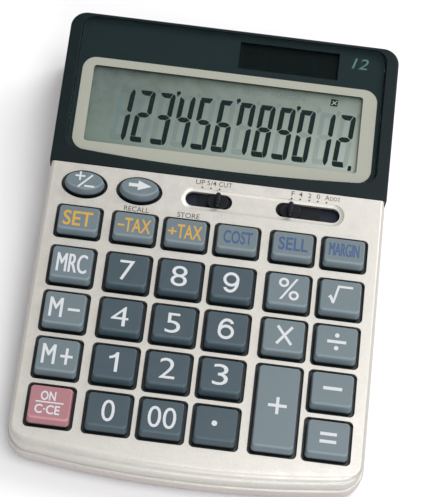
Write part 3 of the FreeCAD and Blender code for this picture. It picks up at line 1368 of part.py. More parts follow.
def rubber_feet():
    body = new_body("rubber_feet")
    plan = new_sketch(body)
    circles(plan, "foot_radius", FEET)
    pad(body, plan, "foot_height + foot_seat")
    round_edges(body, "foot_edge", level("0"))
    place(body, "0", BOTTOM_START, "0")
    return body


pieces = [
    bottom_case(),
    top_cover(),
    display_housing(),
    display_lens(),
    printed_panel(),
    display_frame(),
    lcd_glass(),
    contact_strips(),
    display_board(),
    solar_panel(),
    solar_leads(),
    ribbon_cable(),
    main_board(),
    controller_chip(),
    capacitor(),
    dome_mat(),
    key_guide(),
    switch_plate(),
    button_cell(),
    battery_contact_plus(),
    battery_contact_minus(),
    battery_cover(),
    small_screws(),
    case_screws(),
    rubber_feet(),
]
for name, middle, steps, end, reach in SWITCHES:
    pieces.append(switch_knob(name, middle, steps, end, reach))
    pieces.append(switch_wiper(name, middle, steps, end))
for name, x, y, long, is_oval in KEYS:
    pieces.append(key(name, x, y, long))
document.recompute()


# Checks and export
faults = [item.Name for item in document.Objects if {"Invalid", "Error"} & set(item.State)]
faults += [piece.Label for piece in pieces if piece.Shape.isNull() or not piece.Shape.isValid()]
if faults:
    raise RuntimeError("failed: " + ", ".join(faults))
os.makedirs("parts", exist_ok=True)
for piece in pieces:
    piece.Shape.exportStep(f"parts/{piece.Label}.step")
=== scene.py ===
from math import cos, pi, radians, sin

import bmesh
import bpy
from mathutils import Matrix, Vector


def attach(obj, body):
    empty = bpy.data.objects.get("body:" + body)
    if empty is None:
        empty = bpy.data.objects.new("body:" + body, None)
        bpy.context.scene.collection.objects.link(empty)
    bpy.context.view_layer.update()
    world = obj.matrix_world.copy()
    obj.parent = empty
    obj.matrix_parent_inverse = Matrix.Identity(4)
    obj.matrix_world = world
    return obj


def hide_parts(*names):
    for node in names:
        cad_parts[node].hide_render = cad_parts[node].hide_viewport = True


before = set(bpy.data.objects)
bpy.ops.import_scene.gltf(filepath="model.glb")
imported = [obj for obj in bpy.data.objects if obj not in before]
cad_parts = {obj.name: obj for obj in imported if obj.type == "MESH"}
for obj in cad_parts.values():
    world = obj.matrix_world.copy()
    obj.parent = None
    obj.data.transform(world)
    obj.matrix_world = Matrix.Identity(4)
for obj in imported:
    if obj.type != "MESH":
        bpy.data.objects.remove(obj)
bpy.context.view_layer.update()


# Camera: the photograph looks down on the keys from the front, turned a few degrees so that the
# calculator leans to the right in the frame. Its place was fitted to the key grid and the display.
MM = 0.001
# The keyboard's own plane: x to the right, y towards the display, z out of the silver face
keyboard_slope = radians(5)
KEYBOARD = Matrix.Translation((0, -34.871 * MM, 19.557 * MM)) @ Matrix.Rotation(keyboard_slope, 4, "X")
# The display's own plane starts at the seam between the face and the dark housing
seam, display_slope = 62.44 * MM, radians(4.5)
DISPLAY = KEYBOARD @ Matrix.Translation((0, seam, 0)) @ Matrix.Rotation(display_slope, 4, "X")

# The camera's place and its three directions, on the keyboard's plane
view_place = Vector((-3.5, -218.9, 603.8)) * MM
view_right, view_up = (0.9923, 0.1175, 0.0391), (-0.1235, 0.9141, 0.3862)
view_back = (0.0096, -0.3881, 0.9216)
bpy.ops.object.select_all(action="DESELECT")
bpy.ops.object.camera_add()
camera = bpy.context.object
camera.matrix_world = (
    KEYBOARD
    @ Matrix.Translation(view_place)
    @ Matrix((view_right, view_up, view_back)).transposed().to_4x4()
)
camera.data.sensor_width = 36
camera.data.lens = 123.14
camera.data.shift_x = 0.071
camera.data.shift_y = -0.0163
camera.data.clip_start = 0.01
bpy.context.scene.camera = camera


# Bottom case: one deep moulding of pinkish-grey plastic that carries everything else. Its outside
# has the fine sparked texture of its mould, and a thin rounded edge runs round its foot.
def linear(red, green, blue):
    """A colour written in the 0 to 255 steps of a screen."""
    steps = (red / 255, green / 255, blue / 255)
    return tuple(((step + 0.055) / 1.055) ** 2.4 if step > 0.04 else step / 12.92 for step in steps) + (1.0,)


def toned(colour, gain):
    """The same colour, lighter or darker."""
    return tuple(min(1.0, part * gain) for part in colour[:3]) + (1.0,)


def only(piece):
    """Select one piece and nothing else."""
    bpy.ops.object.select_all(action="DESELECT")
    piece.select_set(True)
    bpy.context.view_layer.objects.active = piece


def link(tree, start, end):
    """Join two sockets of a material."""
    tree.links.new(start, end)


def noise(tree, size_mm):
    """Noise of a real size, fixed to the piece."""
    place = tree.nodes.new("ShaderNodeTexCoord")
    node = tree.nodes.new("ShaderNodeTexNoise")
    node.inputs["Scale"].default_value = 1 / (size_mm * MM)
    node.inputs["Detail"].default_value = 3.0
    link(tree, place.outputs["Object"], node.inputs["Vector"])
    return node.outputs["Fac"]


def ranged(tree, value, low, high, start=0.3, end=0.7):
    """Spread the middle of a noise over a range of values."""
    node = tree.nodes.new("ShaderNodeMapRange")
    for name, number in (("From Min", start), ("From Max", end), ("To Min", low), ("To Max", high)):
        node.inputs[name].default_value = number
    link(tree, value, node.inputs["Value"])
    return node.outputs["Result"]


def mixed(tree, factor, first, second):
    """Mix two colours, each a plain colour or another node's output."""
    node = tree.nodes.new("ShaderNodeMix")
    node.data_type = "RGBA"
    link(tree, factor, node.inputs["Factor"])
    for colour, socket in ((first, node.inputs[6]), (second, node.inputs[7])):
        if isinstance(colour, tuple):
            socket.default_value = colour
        else:
            link(tree, colour, socket)
    return node.outputs[2]


mottle_mm, sheen_mm = 9.0, 4.0


def finish_of(name, colour, rough, grain_mm, depth_mm, vary=0.06, metal=0.0, coat=0.0, gloss=0.5):
    """A surface with its own mould texture, faint mottling and uneven gloss."""
    material = bpy.data.materials.new(name)
    material.use_nodes = True
    tree = material.node_tree
    shader = tree.nodes["Principled BSDF"]
    shader.inputs["Metallic"].default_value = metal
    shader.inputs["Specular IOR Level"].default_value = gloss
    shader.inputs["Coat Weight"].default_value = coat
    shader.inputs["Coat Roughness"].default_value = 0.15
    mottled = mixed(tree, noise(tree, mottle_mm), toned(colour, 1 - vary / 2), toned(colour, 1 + vary / 2))
    grain = noise(tree, grain_mm)
    speckled = mixed(tree, ranged(tree, grain, 0.0, 0.5), mottled, toned(colour, 1 - vary))
    link(tree, speckled, shader.inputs["Base Color"])
    link(tree, ranged(tree, noise(tree, sheen_mm), rough - 0.05, rough + 0.06), shader.inputs["Roughness"])
    bump = tree.nodes.new("ShaderNodeBump")
    bump.inputs["Strength"].default_value = 0.6
    bump.inputs["Distance"].default_value = depth_mm * MM
    link(tree, grain, bump.inputs["Height"])
    link(tree, bump.outputs["Normal"], shader.inputs["Normal"])
    return material


def dress(piece, material):
    """Give a piece one finish all over."""
    piece.data.materials.clear()
    piece.data.materials.append(material)


def dress_part(piece, material, test, plane=Matrix()):
    """Give a second finish to the faces that pass a test."""
    piece.data.materials.append(material)
    only(piece)
    bpy.ops.object.mode_set(mode="EDIT")
    pick(piece, "FACE", test, plane)
    piece.active_material_index = len(piece.data.materials) - 1
    bpy.ops.object.material_slot_assign()
    bpy.ops.object.mode_set(mode="OBJECT")


def pick(piece, kind, test, plane=Matrix(), fold=0.0):
    """In edit mode, select the faces or edges that pass a test on their middle and their lean.

    The middle is in millimetres on a plane of the object. The lean is a face's normal or an edge's
    run on that plane. Edges can be asked to fold by a least angle.
    """
    bpy.ops.mesh.select_mode(type=kind)
    bpy.ops.mesh.select_all(action="DESELECT")
    shape = bmesh.from_edit_mesh(piece.data)
    to_plane = plane.inverted()
    for item in list(shape.faces if kind == "FACE" else shape.edges):
        centre = to_plane @ (sum((corner.co for corner in item.verts), Vector()) / len(item.verts)) / MM
        if kind == "FACE":
            lean = to_plane.to_3x3() @ item.normal
        else:
            lean = to_plane.to_3x3() @ (item.verts[1].co - item.verts[0].co).normalized()
            if item.calc_face_angle(0.0) < radians(fold):
                continue
        item.select_set(bool(test(centre, lean)))
    bmesh.update_edit_mesh(piece.data)


def even_normals(piece, smooth):
    """Round faces read as round and flat faces stay flat."""
    only(piece)
    if not smooth:
        bpy.ops.object.shade_flat()
        return
    bpy.ops.object.shade_smooth_by_angle(angle=radians(smooth))
    bpy.ops.object.modifier_add(type="WEIGHTED_NORMAL")
    piece.modifiers[-1].keep_sharp = True
    bpy.ops.object.modifier_apply(modifier=piece.modifiers[-1].name)


weld_mm, flat_angle, fold_angle = 0.002, 0.3, 40


def cast_of(node, name, smooth=32, rounded=()):
    """A clean copy of a solid, with its loose triangles joined and the given edges rounded.

    Each rounding is a plane, a width in millimetres, a number of steps and a test for its edges.
    """
    piece = bpy.data.objects.new(name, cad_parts[node].data.copy())
    bpy.context.scene.collection.objects.link(piece)
    only(piece)
    bpy.ops.object.mode_set(mode="EDIT")
    bpy.ops.mesh.select_all(action="SELECT")
    bpy.ops.mesh.remove_doubles(threshold=weld_mm * MM)
    bpy.ops.mesh.dissolve_limited(angle_limit=radians(flat_angle))
    for plane, offset, steps, test in rounded:
        pick(piece, "EDGE", test, plane, fold_angle)
        bpy.ops.mesh.bevel(offset=offset * MM, segments=steps, affect="EDGES", clamp_overlap=False)
    bpy.ops.object.mode_set(mode="OBJECT")
    bpy.ops.mesh.customdata_custom_splitnormals_clear()
    even_normals(piece, smooth)
    return piece


case_plastic = finish_of("case_plastic", linear(178, 167, 163), 0.5, 0.35, 0.03)
tray = cast_of("bottom_case", "tray")
dress(tray, case_plastic)
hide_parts("bottom_case")
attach(tray, "case")


# Underside: a battery cover in the tray's own plastic, held by one screw, and four rubber feet
# glued into shallow seats. The zinc-plated case screws sit deep in their wells.
hatch = cast_of("battery_cover", "hatch")
dress(hatch, case_plastic)
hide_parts("battery_cover")
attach(hatch, "case")

foot_rubber = finish_of("foot_rubber", linear(38, 38, 40), 0.8, 0.5, 0.05)
feet = cast_of("rubber_feet", "feet")
dress(feet, foot_rubber)
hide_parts("rubber_feet")
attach(feet, "case")

zinc = finish_of("zinc", linear(176, 178, 182), 0.32, 0.2, 0.01, metal=1.0)
for node in ("case_screws", "small_screws"):
    dress(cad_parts[node], zinc)


# Top cover: the silver face, moulded with its key openings and painted with a fine champagne
# metallic. It rolls down at the front and ends in a thin rounded lip on the tray. A long shallow
# sunk band with softly rounded edges holds the two switch slots.
def face_paint(name, colour, rough):
    """Champagne paint with fine metal flakes, each painted lighter as a painted glint."""
    material = finish_of(name, colour, rough, 0.3, 0.008, vary=0.04, metal=0.5, coat=0.1)
    tree = material.node_tree
    shader = tree.nodes["Principled BSDF"]
    place = tree.nodes.new("ShaderNodeTexCoord")
    flakes = tree.nodes.new("ShaderNodeTexVoronoi")
    flakes.inputs["Scale"].default_value = 1 / (0.22 * MM)
    link(tree, place.outputs["Object"], flakes.inputs["Vector"])
    base = shader.inputs["Base Color"].links[0].from_socket
    # Painted glints: the flakes are painted lighter than the paint round them.
    glint = ranged(tree, flakes.outputs["Color"], 0.0, 0.3, 0.2, 1.0)
    link(tree, mixed(tree, glint, base, toned(colour, 1.55)), shader.inputs["Base Color"])
    return material


# The sunk band: a long slot shape behind the key rows, level with the oval keys
oval_row, band_left, band_right, band_radius, band_depth = 53.59, -8.7, 45.65, 4.5, 0.6


def near_band(centre, margin):
    """Within a margin of the band's outline, seen from above."""
    across = band_left - band_radius - margin < centre.x < band_right + band_radius + margin
    return across and abs(centre.y - oval_row) < band_radius + margin


def band_rim(centre, run):
    """The band's whole edge at the level of the face."""
    outer = abs(centre.y - oval_row) > band_radius - 0.1 or not band_left + 0.1 < centre.x < band_right - 0.1
    return abs(centre.z) < 0.01 and near_band(centre, 0.1) and outer


def band_slope(centre, normal):
    """The wall between the face and the band's floor, with its rounding."""
    return -band_depth < centre.z < -0.005 and abs(normal.z) < 0.99 and near_band(centre, 1.0)


silver_paint = face_paint("face_paint", linear(182, 179, 173), 0.38)
cover = cast_of("top_cover", "cover", rounded=[(KEYBOARD, 0.3, 3, band_rim)])
bpy.ops.object.mode_set(mode="EDIT")
for end, outwards in ((band_left, -1), (band_right, 1)):
    # The foot of the band's wall runs in, so that the wall becomes a soft slope
    def band_foot(centre, run):
        """The round end of the wall, where it meets the floor."""
        reach = (centre.xy - Vector((end, oval_row))).length
        beyond = (centre.x - end) * outwards > -0.001
        return abs(centre.z + band_depth) < 0.01 and abs(reach - band_radius + 0.1) < 0.2 and beyond

    pick(cover, "EDGE", band_foot, KEYBOARD, fold_angle)
    middle = KEYBOARD @ (Vector((end, oval_row, -band_depth)) * MM)
    bpy.ops.transform.resize(value=(0.75, 0.75, 0.75), center_override=middle)
bpy.ops.object.mode_set(mode="OBJECT")
# Each front corner leans down with the rolled front instead of standing as a flat
to_keyboard = KEYBOARD.inverted()
lean_in, lean_down, widest_flat = 0.25, 0.65, 1.6
for side in (-1, 1):
    # The flat's inner edge runs from the front towards the side of the face
    hinge = Vector((side * 53.092, -52.297, -1.0))
    along = Vector((side * 5.288, 0.712, 0)).normalized()
    outward = side * Vector((along.y, -along.x, 0))
    for corner in cover.data.vertices:
        spot = to_keyboard @ corner.co / MM
        reach = (spot - hinge).dot(outward)
        if abs(spot.z - hinge.z) < 0.01 and 0.01 < reach < widest_flat and 52 < side * spot.x < 59:
            spot -= reach * (lean_in * outward + Vector((0, 0, lean_down)))
            corner.co = KEYBOARD @ (spot * MM)
even_normals(cover, 55)
dress(cover, silver_paint)
# The band's sloping wall is painted a shade lighter than the face, as a painted highlight.
dress_part(cover, face_paint("band_wall_highlight", linear(184, 181, 174), 0.42), band_slope, KEYBOARD)
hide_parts("top_cover")
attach(cover, "case")


# Display housing: a satin navy moulding over the back of the case, with a rim round the lens. The walls of
# its display window are a dark dull olive, partly the colour of a cut edge and partly painted shade in the
# deep window.
navy_plastic = finish_of("navy_plastic", linear(12, 24, 26), 0.36, 0.4, 0.006, vary=0.08, gloss=0.13)
cut_edge_and_shade = finish_of("cut_edge_and_shade", linear(46, 50, 30), 0.7, 0.3, 0.01, vary=0.15)


def lens_rim(centre, run):
    """The edge of the opening that the lens lies in."""
    return abs(centre.z) < 0.01 and 2.0 < centre.y < 64.2 and abs(centre.x) < 62.5


def window_wall(centre, normal):
    """The upright walls of the display window."""
    return abs(normal.z) < 0.3 and abs(centre.x) < 56 and 9 < centre.y < 45


def housing_window(centre, normal):
    """The same walls, between the floor of the lens's pocket and the display glass."""
    return -4.1 < centre.z < -2.7 and window_wall(centre, normal)


housing = cast_of("display_housing", "housing", rounded=[(DISPLAY, 0.3, 3, lens_rim)])
dress(housing, navy_plastic)
# Painted shade: the window's walls below the lens's pocket are painted dark olive.
dress_part(housing, cut_edge_and_shade, housing_window, DISPLAY)
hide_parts("display_housing")
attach(housing, "case")


# Behind the lens: a dark printed sheet with a window for the cells and, inside it, a pale frame
# round the display. Both are thin matt card, glued into the pocket of the housing.
print_ink = finish_of("print_ink", linear(22, 36, 38), 0.6, 0.5, 0.004, vary=0.12, gloss=0.1)
panel = cast_of("printed_panel", "panel", smooth=0)
dress(panel, print_ink)
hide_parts("printed_panel")
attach(panel, "case")

frame_ink = finish_of("frame_ink", linear(158, 156, 144), 0.6, 0.5, 0.004, vary=0.03)
bezel = cast_of("display_frame", "bezel", smooth=0)
dress(bezel, frame_ink)
dress_part(bezel, cut_edge_and_shade, window_wall, DISPLAY)
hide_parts("display_frame")
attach(bezel, "case")


# Lens: a clear acrylic sheet let into the rim, with a polished rounded edge. It only adds a faint
# reflection to what lies under it.
def clear_acrylic(name, index, rough):
    """Clear plastic: what lies behind it, under a reflection that grows with the index."""
    material = bpy.data.materials.new(name)
    material.use_nodes = True
    tree = material.node_tree
    tree.nodes.remove(tree.nodes["Principled BSDF"])
    clear = tree.nodes.new("ShaderNodeBsdfTransparent")
    clear.inputs["Color"].default_value = (0.98, 0.99, 0.99, 1.0)
    gloss = tree.nodes.new("ShaderNodeBsdfGlossy")
    gloss.inputs["Roughness"].default_value = rough
    fresnel = tree.nodes.new("ShaderNodeFresnel")
    fresnel.inputs["IOR"].default_value = index
    bump = tree.nodes.new("ShaderNodeBump")
    bump.inputs["Strength"].default_value = 0.05
    bump.inputs["Distance"].default_value = 0.02 * MM
    link(tree, noise(tree, 8.0), bump.inputs["Height"])
    link(tree, bump.outputs["Normal"], gloss.inputs["Normal"])
    mix = tree.nodes.new("ShaderNodeMixShader")
    link(tree, fresnel.outputs["Fac"], mix.inputs["Fac"])
    link(tree, clear.outputs["BSDF"], mix.inputs[1])
    link(tree, gloss.outputs["BSDF"], mix.inputs[2])
    link(tree, mix.outputs["Shader"], tree.nodes["Material Output"].inputs["Surface"])
    return material


lens = cast_of("display_lens", "lens", smooth=0)
# Its lower face stands a hair clear of the sheets beneath it
lens_clearance = 0.04
bpy.ops.object.mode_set(mode="EDIT")
pick(lens, "FACE", lambda centre, normal: normal.z < -0.9, DISPLAY)
bpy.ops.transform.translate(value=DISPLAY.to_3x3() @ Vector((0, 0, lens_clearance * MM)))
bpy.ops.object.mode_set(mode="OBJECT")
dress(lens, clear_acrylic("clear_sheet", 1.06, 0.1))
polished_edge = clear_acrylic("polished_edge", 1.3, 0.12)
dress_part(lens, polished_edge, lambda centre, normal: abs(normal.z) < 0.985, DISPLAY)
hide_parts("display_lens")
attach(lens, "case")


# Display glass: a reflective liquid crystal cell on rubber contact strips. It is grey-green and a little
# cloudy, and painted darker to the left and towards the back as painted shade from the window's walls and the
# slant of the view.
def crystal():
    """The cell's colour runs from corner to corner as painted shade, under a faint speckle."""
    material = finish_of("crystal", linear(150, 162, 150), 0.4, 0.6, 0.002, vary=0.06)
    tree = material.node_tree
    shader = tree.nodes["Principled BSDF"]
    place = tree.nodes.new("ShaderNodeTexCoord")
    spot = tree.nodes.new("ShaderNodeSeparateXYZ")
    link(tree, place.outputs["Object"], spot.inputs["Vector"])
    # Painted shade: the cell is painted darker to the left and towards the back.
    across = ranged(tree, spot.outputs["X"], 0.0, 1.0, -0.05, 0.045)
    along = ranged(tree, spot.outputs["Y"], 0.0, 1.0, 0.039, 0.071)
    front = mixed(tree, across, linear(84, 99, 90), linear(155, 159, 150))
    back = mixed(tree, across, linear(40, 51, 46), linear(91, 102, 90))
    tint_and_shade = mixed(tree, along, front, back)
    cloudy = mixed(tree, ranged(tree, noise(tree, 5.0), 0.0, 0.25), tint_and_shade, linear(124, 139, 141))
    speck = shader.inputs["Base Color"].links[0].from_socket
    blend = tree.nodes.new("ShaderNodeMix")
    blend.data_type = "RGBA"
    blend.inputs["Factor"].default_value = 0.85
    link(tree, speck, blend.inputs[6])
    link(tree, cloudy, blend.inputs[7])
    link(tree, blend.outputs[2], shader.inputs["Base Color"])
    return material


dress(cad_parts["lcd_glass"], crystal())


# Digits: twelve slanting seven-bar figures, dark where they are switched on and a faint blue where
# they are off, with raised commas between the thousands. The bars lie on the cell's surface.
def flat_shapes(name, outlines, place, thick_mm=0.02):
    """One piece from flat outlines in millimetres, laid on a plane and given a little thickness."""
    corners, faces = [], []
    for outline in outlines:
        faces.append(range(len(corners), len(corners) + len(outline)))
        corners += [(x * MM, y * MM, 0) for x, y in outline]
    mesh = bpy.data.meshes.new(name)
    mesh.from_pydata(corners, [], [tuple(face) for face in faces])
    piece = bpy.data.objects.new(name, mesh)
    bpy.context.scene.collection.objects.link(piece)
    only(piece)
    bpy.ops.object.mode_set(mode="EDIT")
    bpy.ops.mesh.select_all(action="SELECT")
    bpy.ops.mesh.extrude_region_move(TRANSFORM_OT_translate={"value": (0, 0, thick_mm * MM)})
    bpy.ops.mesh.select_all(action="SELECT")
    bpy.ops.mesh.normals_make_consistent(inside=False)
    bpy.ops.object.mode_set(mode="OBJECT")
    piece.data.transform(place)
    return piece


# The bars of one figure, in millimetres from its lower left corner, before they slant
BARS = {
    "top": [
        (0.1, 22.15), (0.75, 21.05), (2.0, 20.35), (4.05, 20.35), (4.9, 22.35), (4.5, 22.55),
        (0.75, 22.55), (0.3, 22.4),
    ],
    "top_left": [
        (0.0, 12.6), (0.0, 21.45), (0.3, 21.55), (1.6, 20.6), (1.95, 20.1), (1.95, 13.35), (1.1, 12.55),
        (0.35, 12.1),
    ],
    "top_right": [
        (4.3, 13.3), (4.3, 20.2), (5.1, 22.3), (5.75, 22.1), (6.2, 21.2), (6.25, 12.9), (5.9, 12.45),
        (5.3, 12.4),
    ],
    "middle": [
        (0.65, 11.75), (1.3, 12.5), (2.1, 12.95), (4.1, 12.95), (5.0, 12.4), (5.6, 11.9), (5.0, 11.35),
        (4.1, 10.8), (2.0, 10.8),
    ],
    "low_left": [(0.0, 2.55), (0.0, 11.1), (0.5, 11.5), (1.1, 11.15), (1.95, 10.6), (1.95, 2.5)],
    "low_right": [
        (4.35, 2.3), (4.3, 10.6), (5.1, 11.2), (5.75, 11.6), (6.1, 11.3), (6.25, 10.9), (6.25, 1.7),
        (5.9, 0.6), (5.3, 0.1), (4.95, 0.1),
    ],
    "low_right_point": [
        (4.3, 1.9), (4.3, 10.6), (5.1, 11.2), (5.75, 11.6), (6.1, 11.3), (6.25, 10.9), (6.25, 1.9),
        (5.8, 0.6), (5.3, 0.0), (4.8, 0.7),
    ],
    "bottom": [
        (0.0, 2.4), (0.0, 1.1), (0.35, 0.4), (1.05, 0.0), (4.8, 0.0), (4.6, 1.0), (4.25, 2.3),
        (2.2, 2.35),
    ],
}
LIT = {
    "1": ["top_right", "low_right_point"],
    "2": ["top", "top_right", "middle", "low_left", "bottom"],
    "3": ["top", "top_right", "middle", "low_right", "bottom"],
    "4": ["top_left", "top_right", "middle", "low_right_point"],
    "5": ["top", "top_left", "middle", "low_right", "bottom"],
    "6": ["top", "top_left", "middle", "low_left", "low_right", "bottom"],
    "7": ["top", "top_left", "top_right", "low_right_point"],
    "8": ["top", "top_left", "top_right", "middle", "low_left", "low_right", "bottom"],
    "9": ["top", "top_left", "top_right", "middle", "low_right", "bottom"],
    "0": ["top", "top_left", "top_right", "low_left", "low_right", "bottom"],
}
shown, first_digit, digit_pitch, digit_foot, slant = "123456789012", -45.02, 8.07, 13.3, 0.086
# The bars lie a hair above the glass
display_level = -4.19


def slanted(outline, left, foot=digit_foot):
    """An outline moved to its place and leaned to the right."""
    return [(left + x + y * slant, foot + y) for x, y in outline]


def dot(centre_x, centre_y, size):
    """The outline of a round dot, in sixteen steps."""
    turns = [2 * pi * step / 16 for step in range(16)]
    return [(centre_x + size / 2 * cos(turn), centre_y + size / 2 * sin(turn)) for turn in turns]


def drop(left):
    """The comma after a figure: a round head with a short tail below it."""
    middle_x, middle_y, radius = 7.05, 23.15, 0.86
    turns = [radians(20 * step - 40) for step in range(14)]
    head = [(middle_x + radius * cos(turn), middle_y + radius * sin(turn)) for turn in turns]
    tail = [(6.6, 22.0), (6.9, 21.3), (7.2, 22.1)]
    return slanted(head + tail, left)


lit_bars, faint_bars = [], []
for index, figure in enumerate(shown):
    left = first_digit + index * digit_pitch
    for bar_name, outline in BARS.items():
        if bar_name in LIT[figure]:
            lit_bars.append(slanted(outline, left))
        elif bar_name == "low_right_point" or (bar_name == "low_right" and "low_right_point" in LIT[figure]):
            continue
        else:
            faint_bars.append(slanted(outline, left))
    (lit_bars if index in (2, 5, 8) else faint_bars).append(drop(left))
point = [(0.15, 0.0), (1.15, 0.0), (1.4, 0.3), (1.4, 1.85), (1.1, 2.2), (0.3, 2.2), (0.0, 1.9), (0.0, 0.3)]
lit_bars.append(slanted(point, 50.2, 12.25))

digit_ink = finish_of("digit_ink", linear(14, 30, 30), 0.6, 0.6, 0.002, vary=0.1, gloss=0.1)
digits = flat_shapes("digits", lit_bars, DISPLAY @ Matrix.Translation((0, 0, display_level * MM)))
dress(digits, digit_ink)
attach(digits, "case")


def faint_print():
    """The bars that are off: a thin blue haze that lets the cell show through."""
    material = finish_of("faint_print", linear(122, 150, 158), 0.4, 0.6, 0.002, vary=0.05)
    material.node_tree.nodes["Principled BSDF"].inputs["Alpha"].default_value = 0.09
    return material


faint_ink = faint_print()
faint_level = DISPLAY @ Matrix.Translation((0, 0, (display_level - 0.005) * MM))
faint_digits = flat_shapes("faint_digits", faint_bars, faint_level, 0.008)
dress(faint_digits, faint_ink)
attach(faint_digits, "case")


# Marks above the digits, on the same surface: one is on, a dark square with a light cross, and
# the words are off, as faint as the bars that are off.
def lettering(name, text, middle, wide, high, place, weight=0.0, thick_mm=0.02, lean=0.0):
    """Printed words fitted to their width and height, in millimetres, on a plane of the object."""
    bpy.ops.object.select_all(action="DESELECT")
    bpy.ops.object.text_add()
    piece = bpy.context.object
    piece.name = name
    piece.data.body = text
    piece.data.resolution_u = 4
    piece.data.extrude = 0.01
    piece.data.offset = weight
    piece.data.shear = lean
    bpy.ops.object.convert(target="MESH")
    piece = bpy.context.object
    piece.data.name = name
    low = Vector([min(corner.co[axis] for corner in piece.data.vertices) for axis in range(3)])
    top = Vector([max(corner.co[axis] for corner in piece.data.vertices) for axis in range(3)])
    size = top - low
    scale = Matrix.Diagonal((wide * MM / size.x, high * MM / size.y, thick_mm * MM / size.z, 1))
    piece.data.transform(scale @ Matrix.Translation(-(low + top) / 2))
    piece.data.transform(place @ Matrix.Translation((middle[0] * MM, middle[1] * MM, thick_mm / 2 * MM)))
    return piece


def bars_sign(strokes):
    """Straight strokes as outlines: each from one point to another, with a width."""
    outlines = []
    for (x0, y0), (x1, y1), width in strokes:
        run = Vector((x1 - x0, y1 - y0)).normalized() * width / 2
        start = [(x0 - run.y, y0 + run.x), (x0 + run.y, y0 - run.x)]
        outlines.append(start + [(x1 + run.y, y1 - run.x), (x1 - run.y, y1 + run.x)])
    return outlines


def crossed(centre, first, second, width):
    """Two strokes that cross at a point, as one outline.

    Each is given by its half, and the second lies to the left of the first.
    """
    first, second, half = Vector(first), Vector(second), width / 2
    arms = [first, second, -first, -second]
    reach = half / abs(first.normalized().cross(second.normalized()))
    outline = []
    for index, arm in enumerate(arms):
        run, following = arm.normalized(), arms[(index + 1) % 4].normalized()
        side = Vector((-run.y, run.x)) * half
        outline += [arm - side, arm + side, (run + following) * reach]
    return [(centre[0] + corner.x, centre[1] + corner.y) for corner in outline]


mark = flat_shapes(
    "tax_mark",
    [slanted([(0, 0), (2.85, 0), (2.85, 3.0), (0, 3.0)], 40.9, 39.0)],
    DISPLAY @ Matrix.Translation((0, 0, display_level * MM)),
)
dress(mark, digit_ink)
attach(mark, "case")
pale_ink = finish_of("pale_ink", linear(150, 165, 160), 0.4, 0.6, 0.002, vary=0.05)
cross = flat_shapes(
    "tax_cross",
    [crossed((42.5, 40.5), (1.05, 1.0), (-0.75, 0.75), 0.34)],
    DISPLAY @ Matrix.Translation((0, 0, (display_level + 0.02) * MM)),
    0.01,
)
dress(cross, pale_ink)
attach(cross, "case")
for text, middle_x, wide in (("COST", -4.6, 8.2), ("SELL", 9.4, 7.6), ("MARGIN", 23.8, 13.4)):
    word = lettering(f"off_{text}", text, (middle_x, 40.7), wide, 2.1, faint_level, thick_mm=0.008)
    dress(word, faint_ink)
    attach(word, "case")


# Print on the dark sheet: the number of figures that the display shows, in sea green. It is
# printed on the card under the lens, beside the cells.
green_ink = finish_of("green_ink", linear(57, 107, 98), 0.5, 0.4, 0.003, vary=0.08)
# A hair above the printed sheet
on_sheet = DISPLAY @ Matrix.Translation((0, 0, -2.19 * MM))
number = lettering("cell_count", "12", (51.2, 57.9), 6.6, 4.6, on_sheet, lean=0.25)
dress(number, green_ink)
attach(number, "case")


# Solar panel: four dark cells in a row under their own window in the printed sheet, with fine
# light lines where the cells meet.
def cell_film():
    """Amorphous film: nearly black, with a thin seam at the end of each cell."""
    cell_wide, first_seam = 9.95, -3.45
    material = finish_of("cell_film", linear(7, 16, 16), 0.45, 0.4, 0.002, vary=0.12, gloss=0.04)
    tree = material.node_tree
    shader = tree.nodes["Principled BSDF"]
    place = tree.nodes.new("ShaderNodeTexCoord")
    seams = tree.nodes.new("ShaderNodeTexWave")
    seams.bands_direction = "X"
    seams.wave_profile = "SAW"
    seams.inputs["Scale"].default_value = 1 / (cell_wide * MM) * pi / 10
    seams.inputs["Phase Offset"].default_value = 2 * pi * (first_seam / cell_wide)
    link(tree, place.outputs["Object"], seams.inputs["Vector"])
    seam = ranged(tree, seams.outputs["Fac"], 0.0, 1.0, 0.975, 0.99)
    base = shader.inputs["Base Color"].links[0].from_socket
    link(tree, mixed(tree, seam, base, linear(26, 36, 36)), shader.inputs["Base Color"])
    return material


dress(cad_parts["solar_panel"], cell_film())


# Keys: each is a hollow cap, moulded through and through, with an upright skirt, a long sloping
# front, short slopes at the sides and back, and a flat top with a softly rounded edge.
cap_top, cap_shoulder, cap_foot, flange_top = 3.2, 0.4, -3.1, -2.3
corner_round, shoulder_round, flange_wide, hollow_inset, hollow_roof = 1.5, 0.35, 1.7, 3.0, 1.6
side_lean, oval_lean = 0.4, 0.8


def draw_out(piece, rise, margin_x=0.0, margin_y=0.0, shift=0.0):
    """Draw the picked face out by a rise, narrow it by a margin at each side and push it along."""
    bpy.ops.mesh.extrude_region_move(TRANSFORM_OT_translate={"value": (0, 0, rise * MM)})
    corners = [corner.co for corner in bmesh.from_edit_mesh(piece.data).verts if corner.select]
    low = [min(corner[axis] for corner in corners) for axis in range(3)]
    top = [max(corner[axis] for corner in corners) for axis in range(3)]
    ratio = [1 - 2 * margin * MM / (top[axis] - low[axis]) for axis, margin in ((0, margin_x), (1, margin_y))]
    middle = [(low[axis] + top[axis]) / 2 for axis in range(3)]
    bpy.ops.transform.resize(value=(ratio[0], ratio[1], 1), center_override=middle)
    bpy.ops.transform.translate(value=(0, shift * MM, 0))


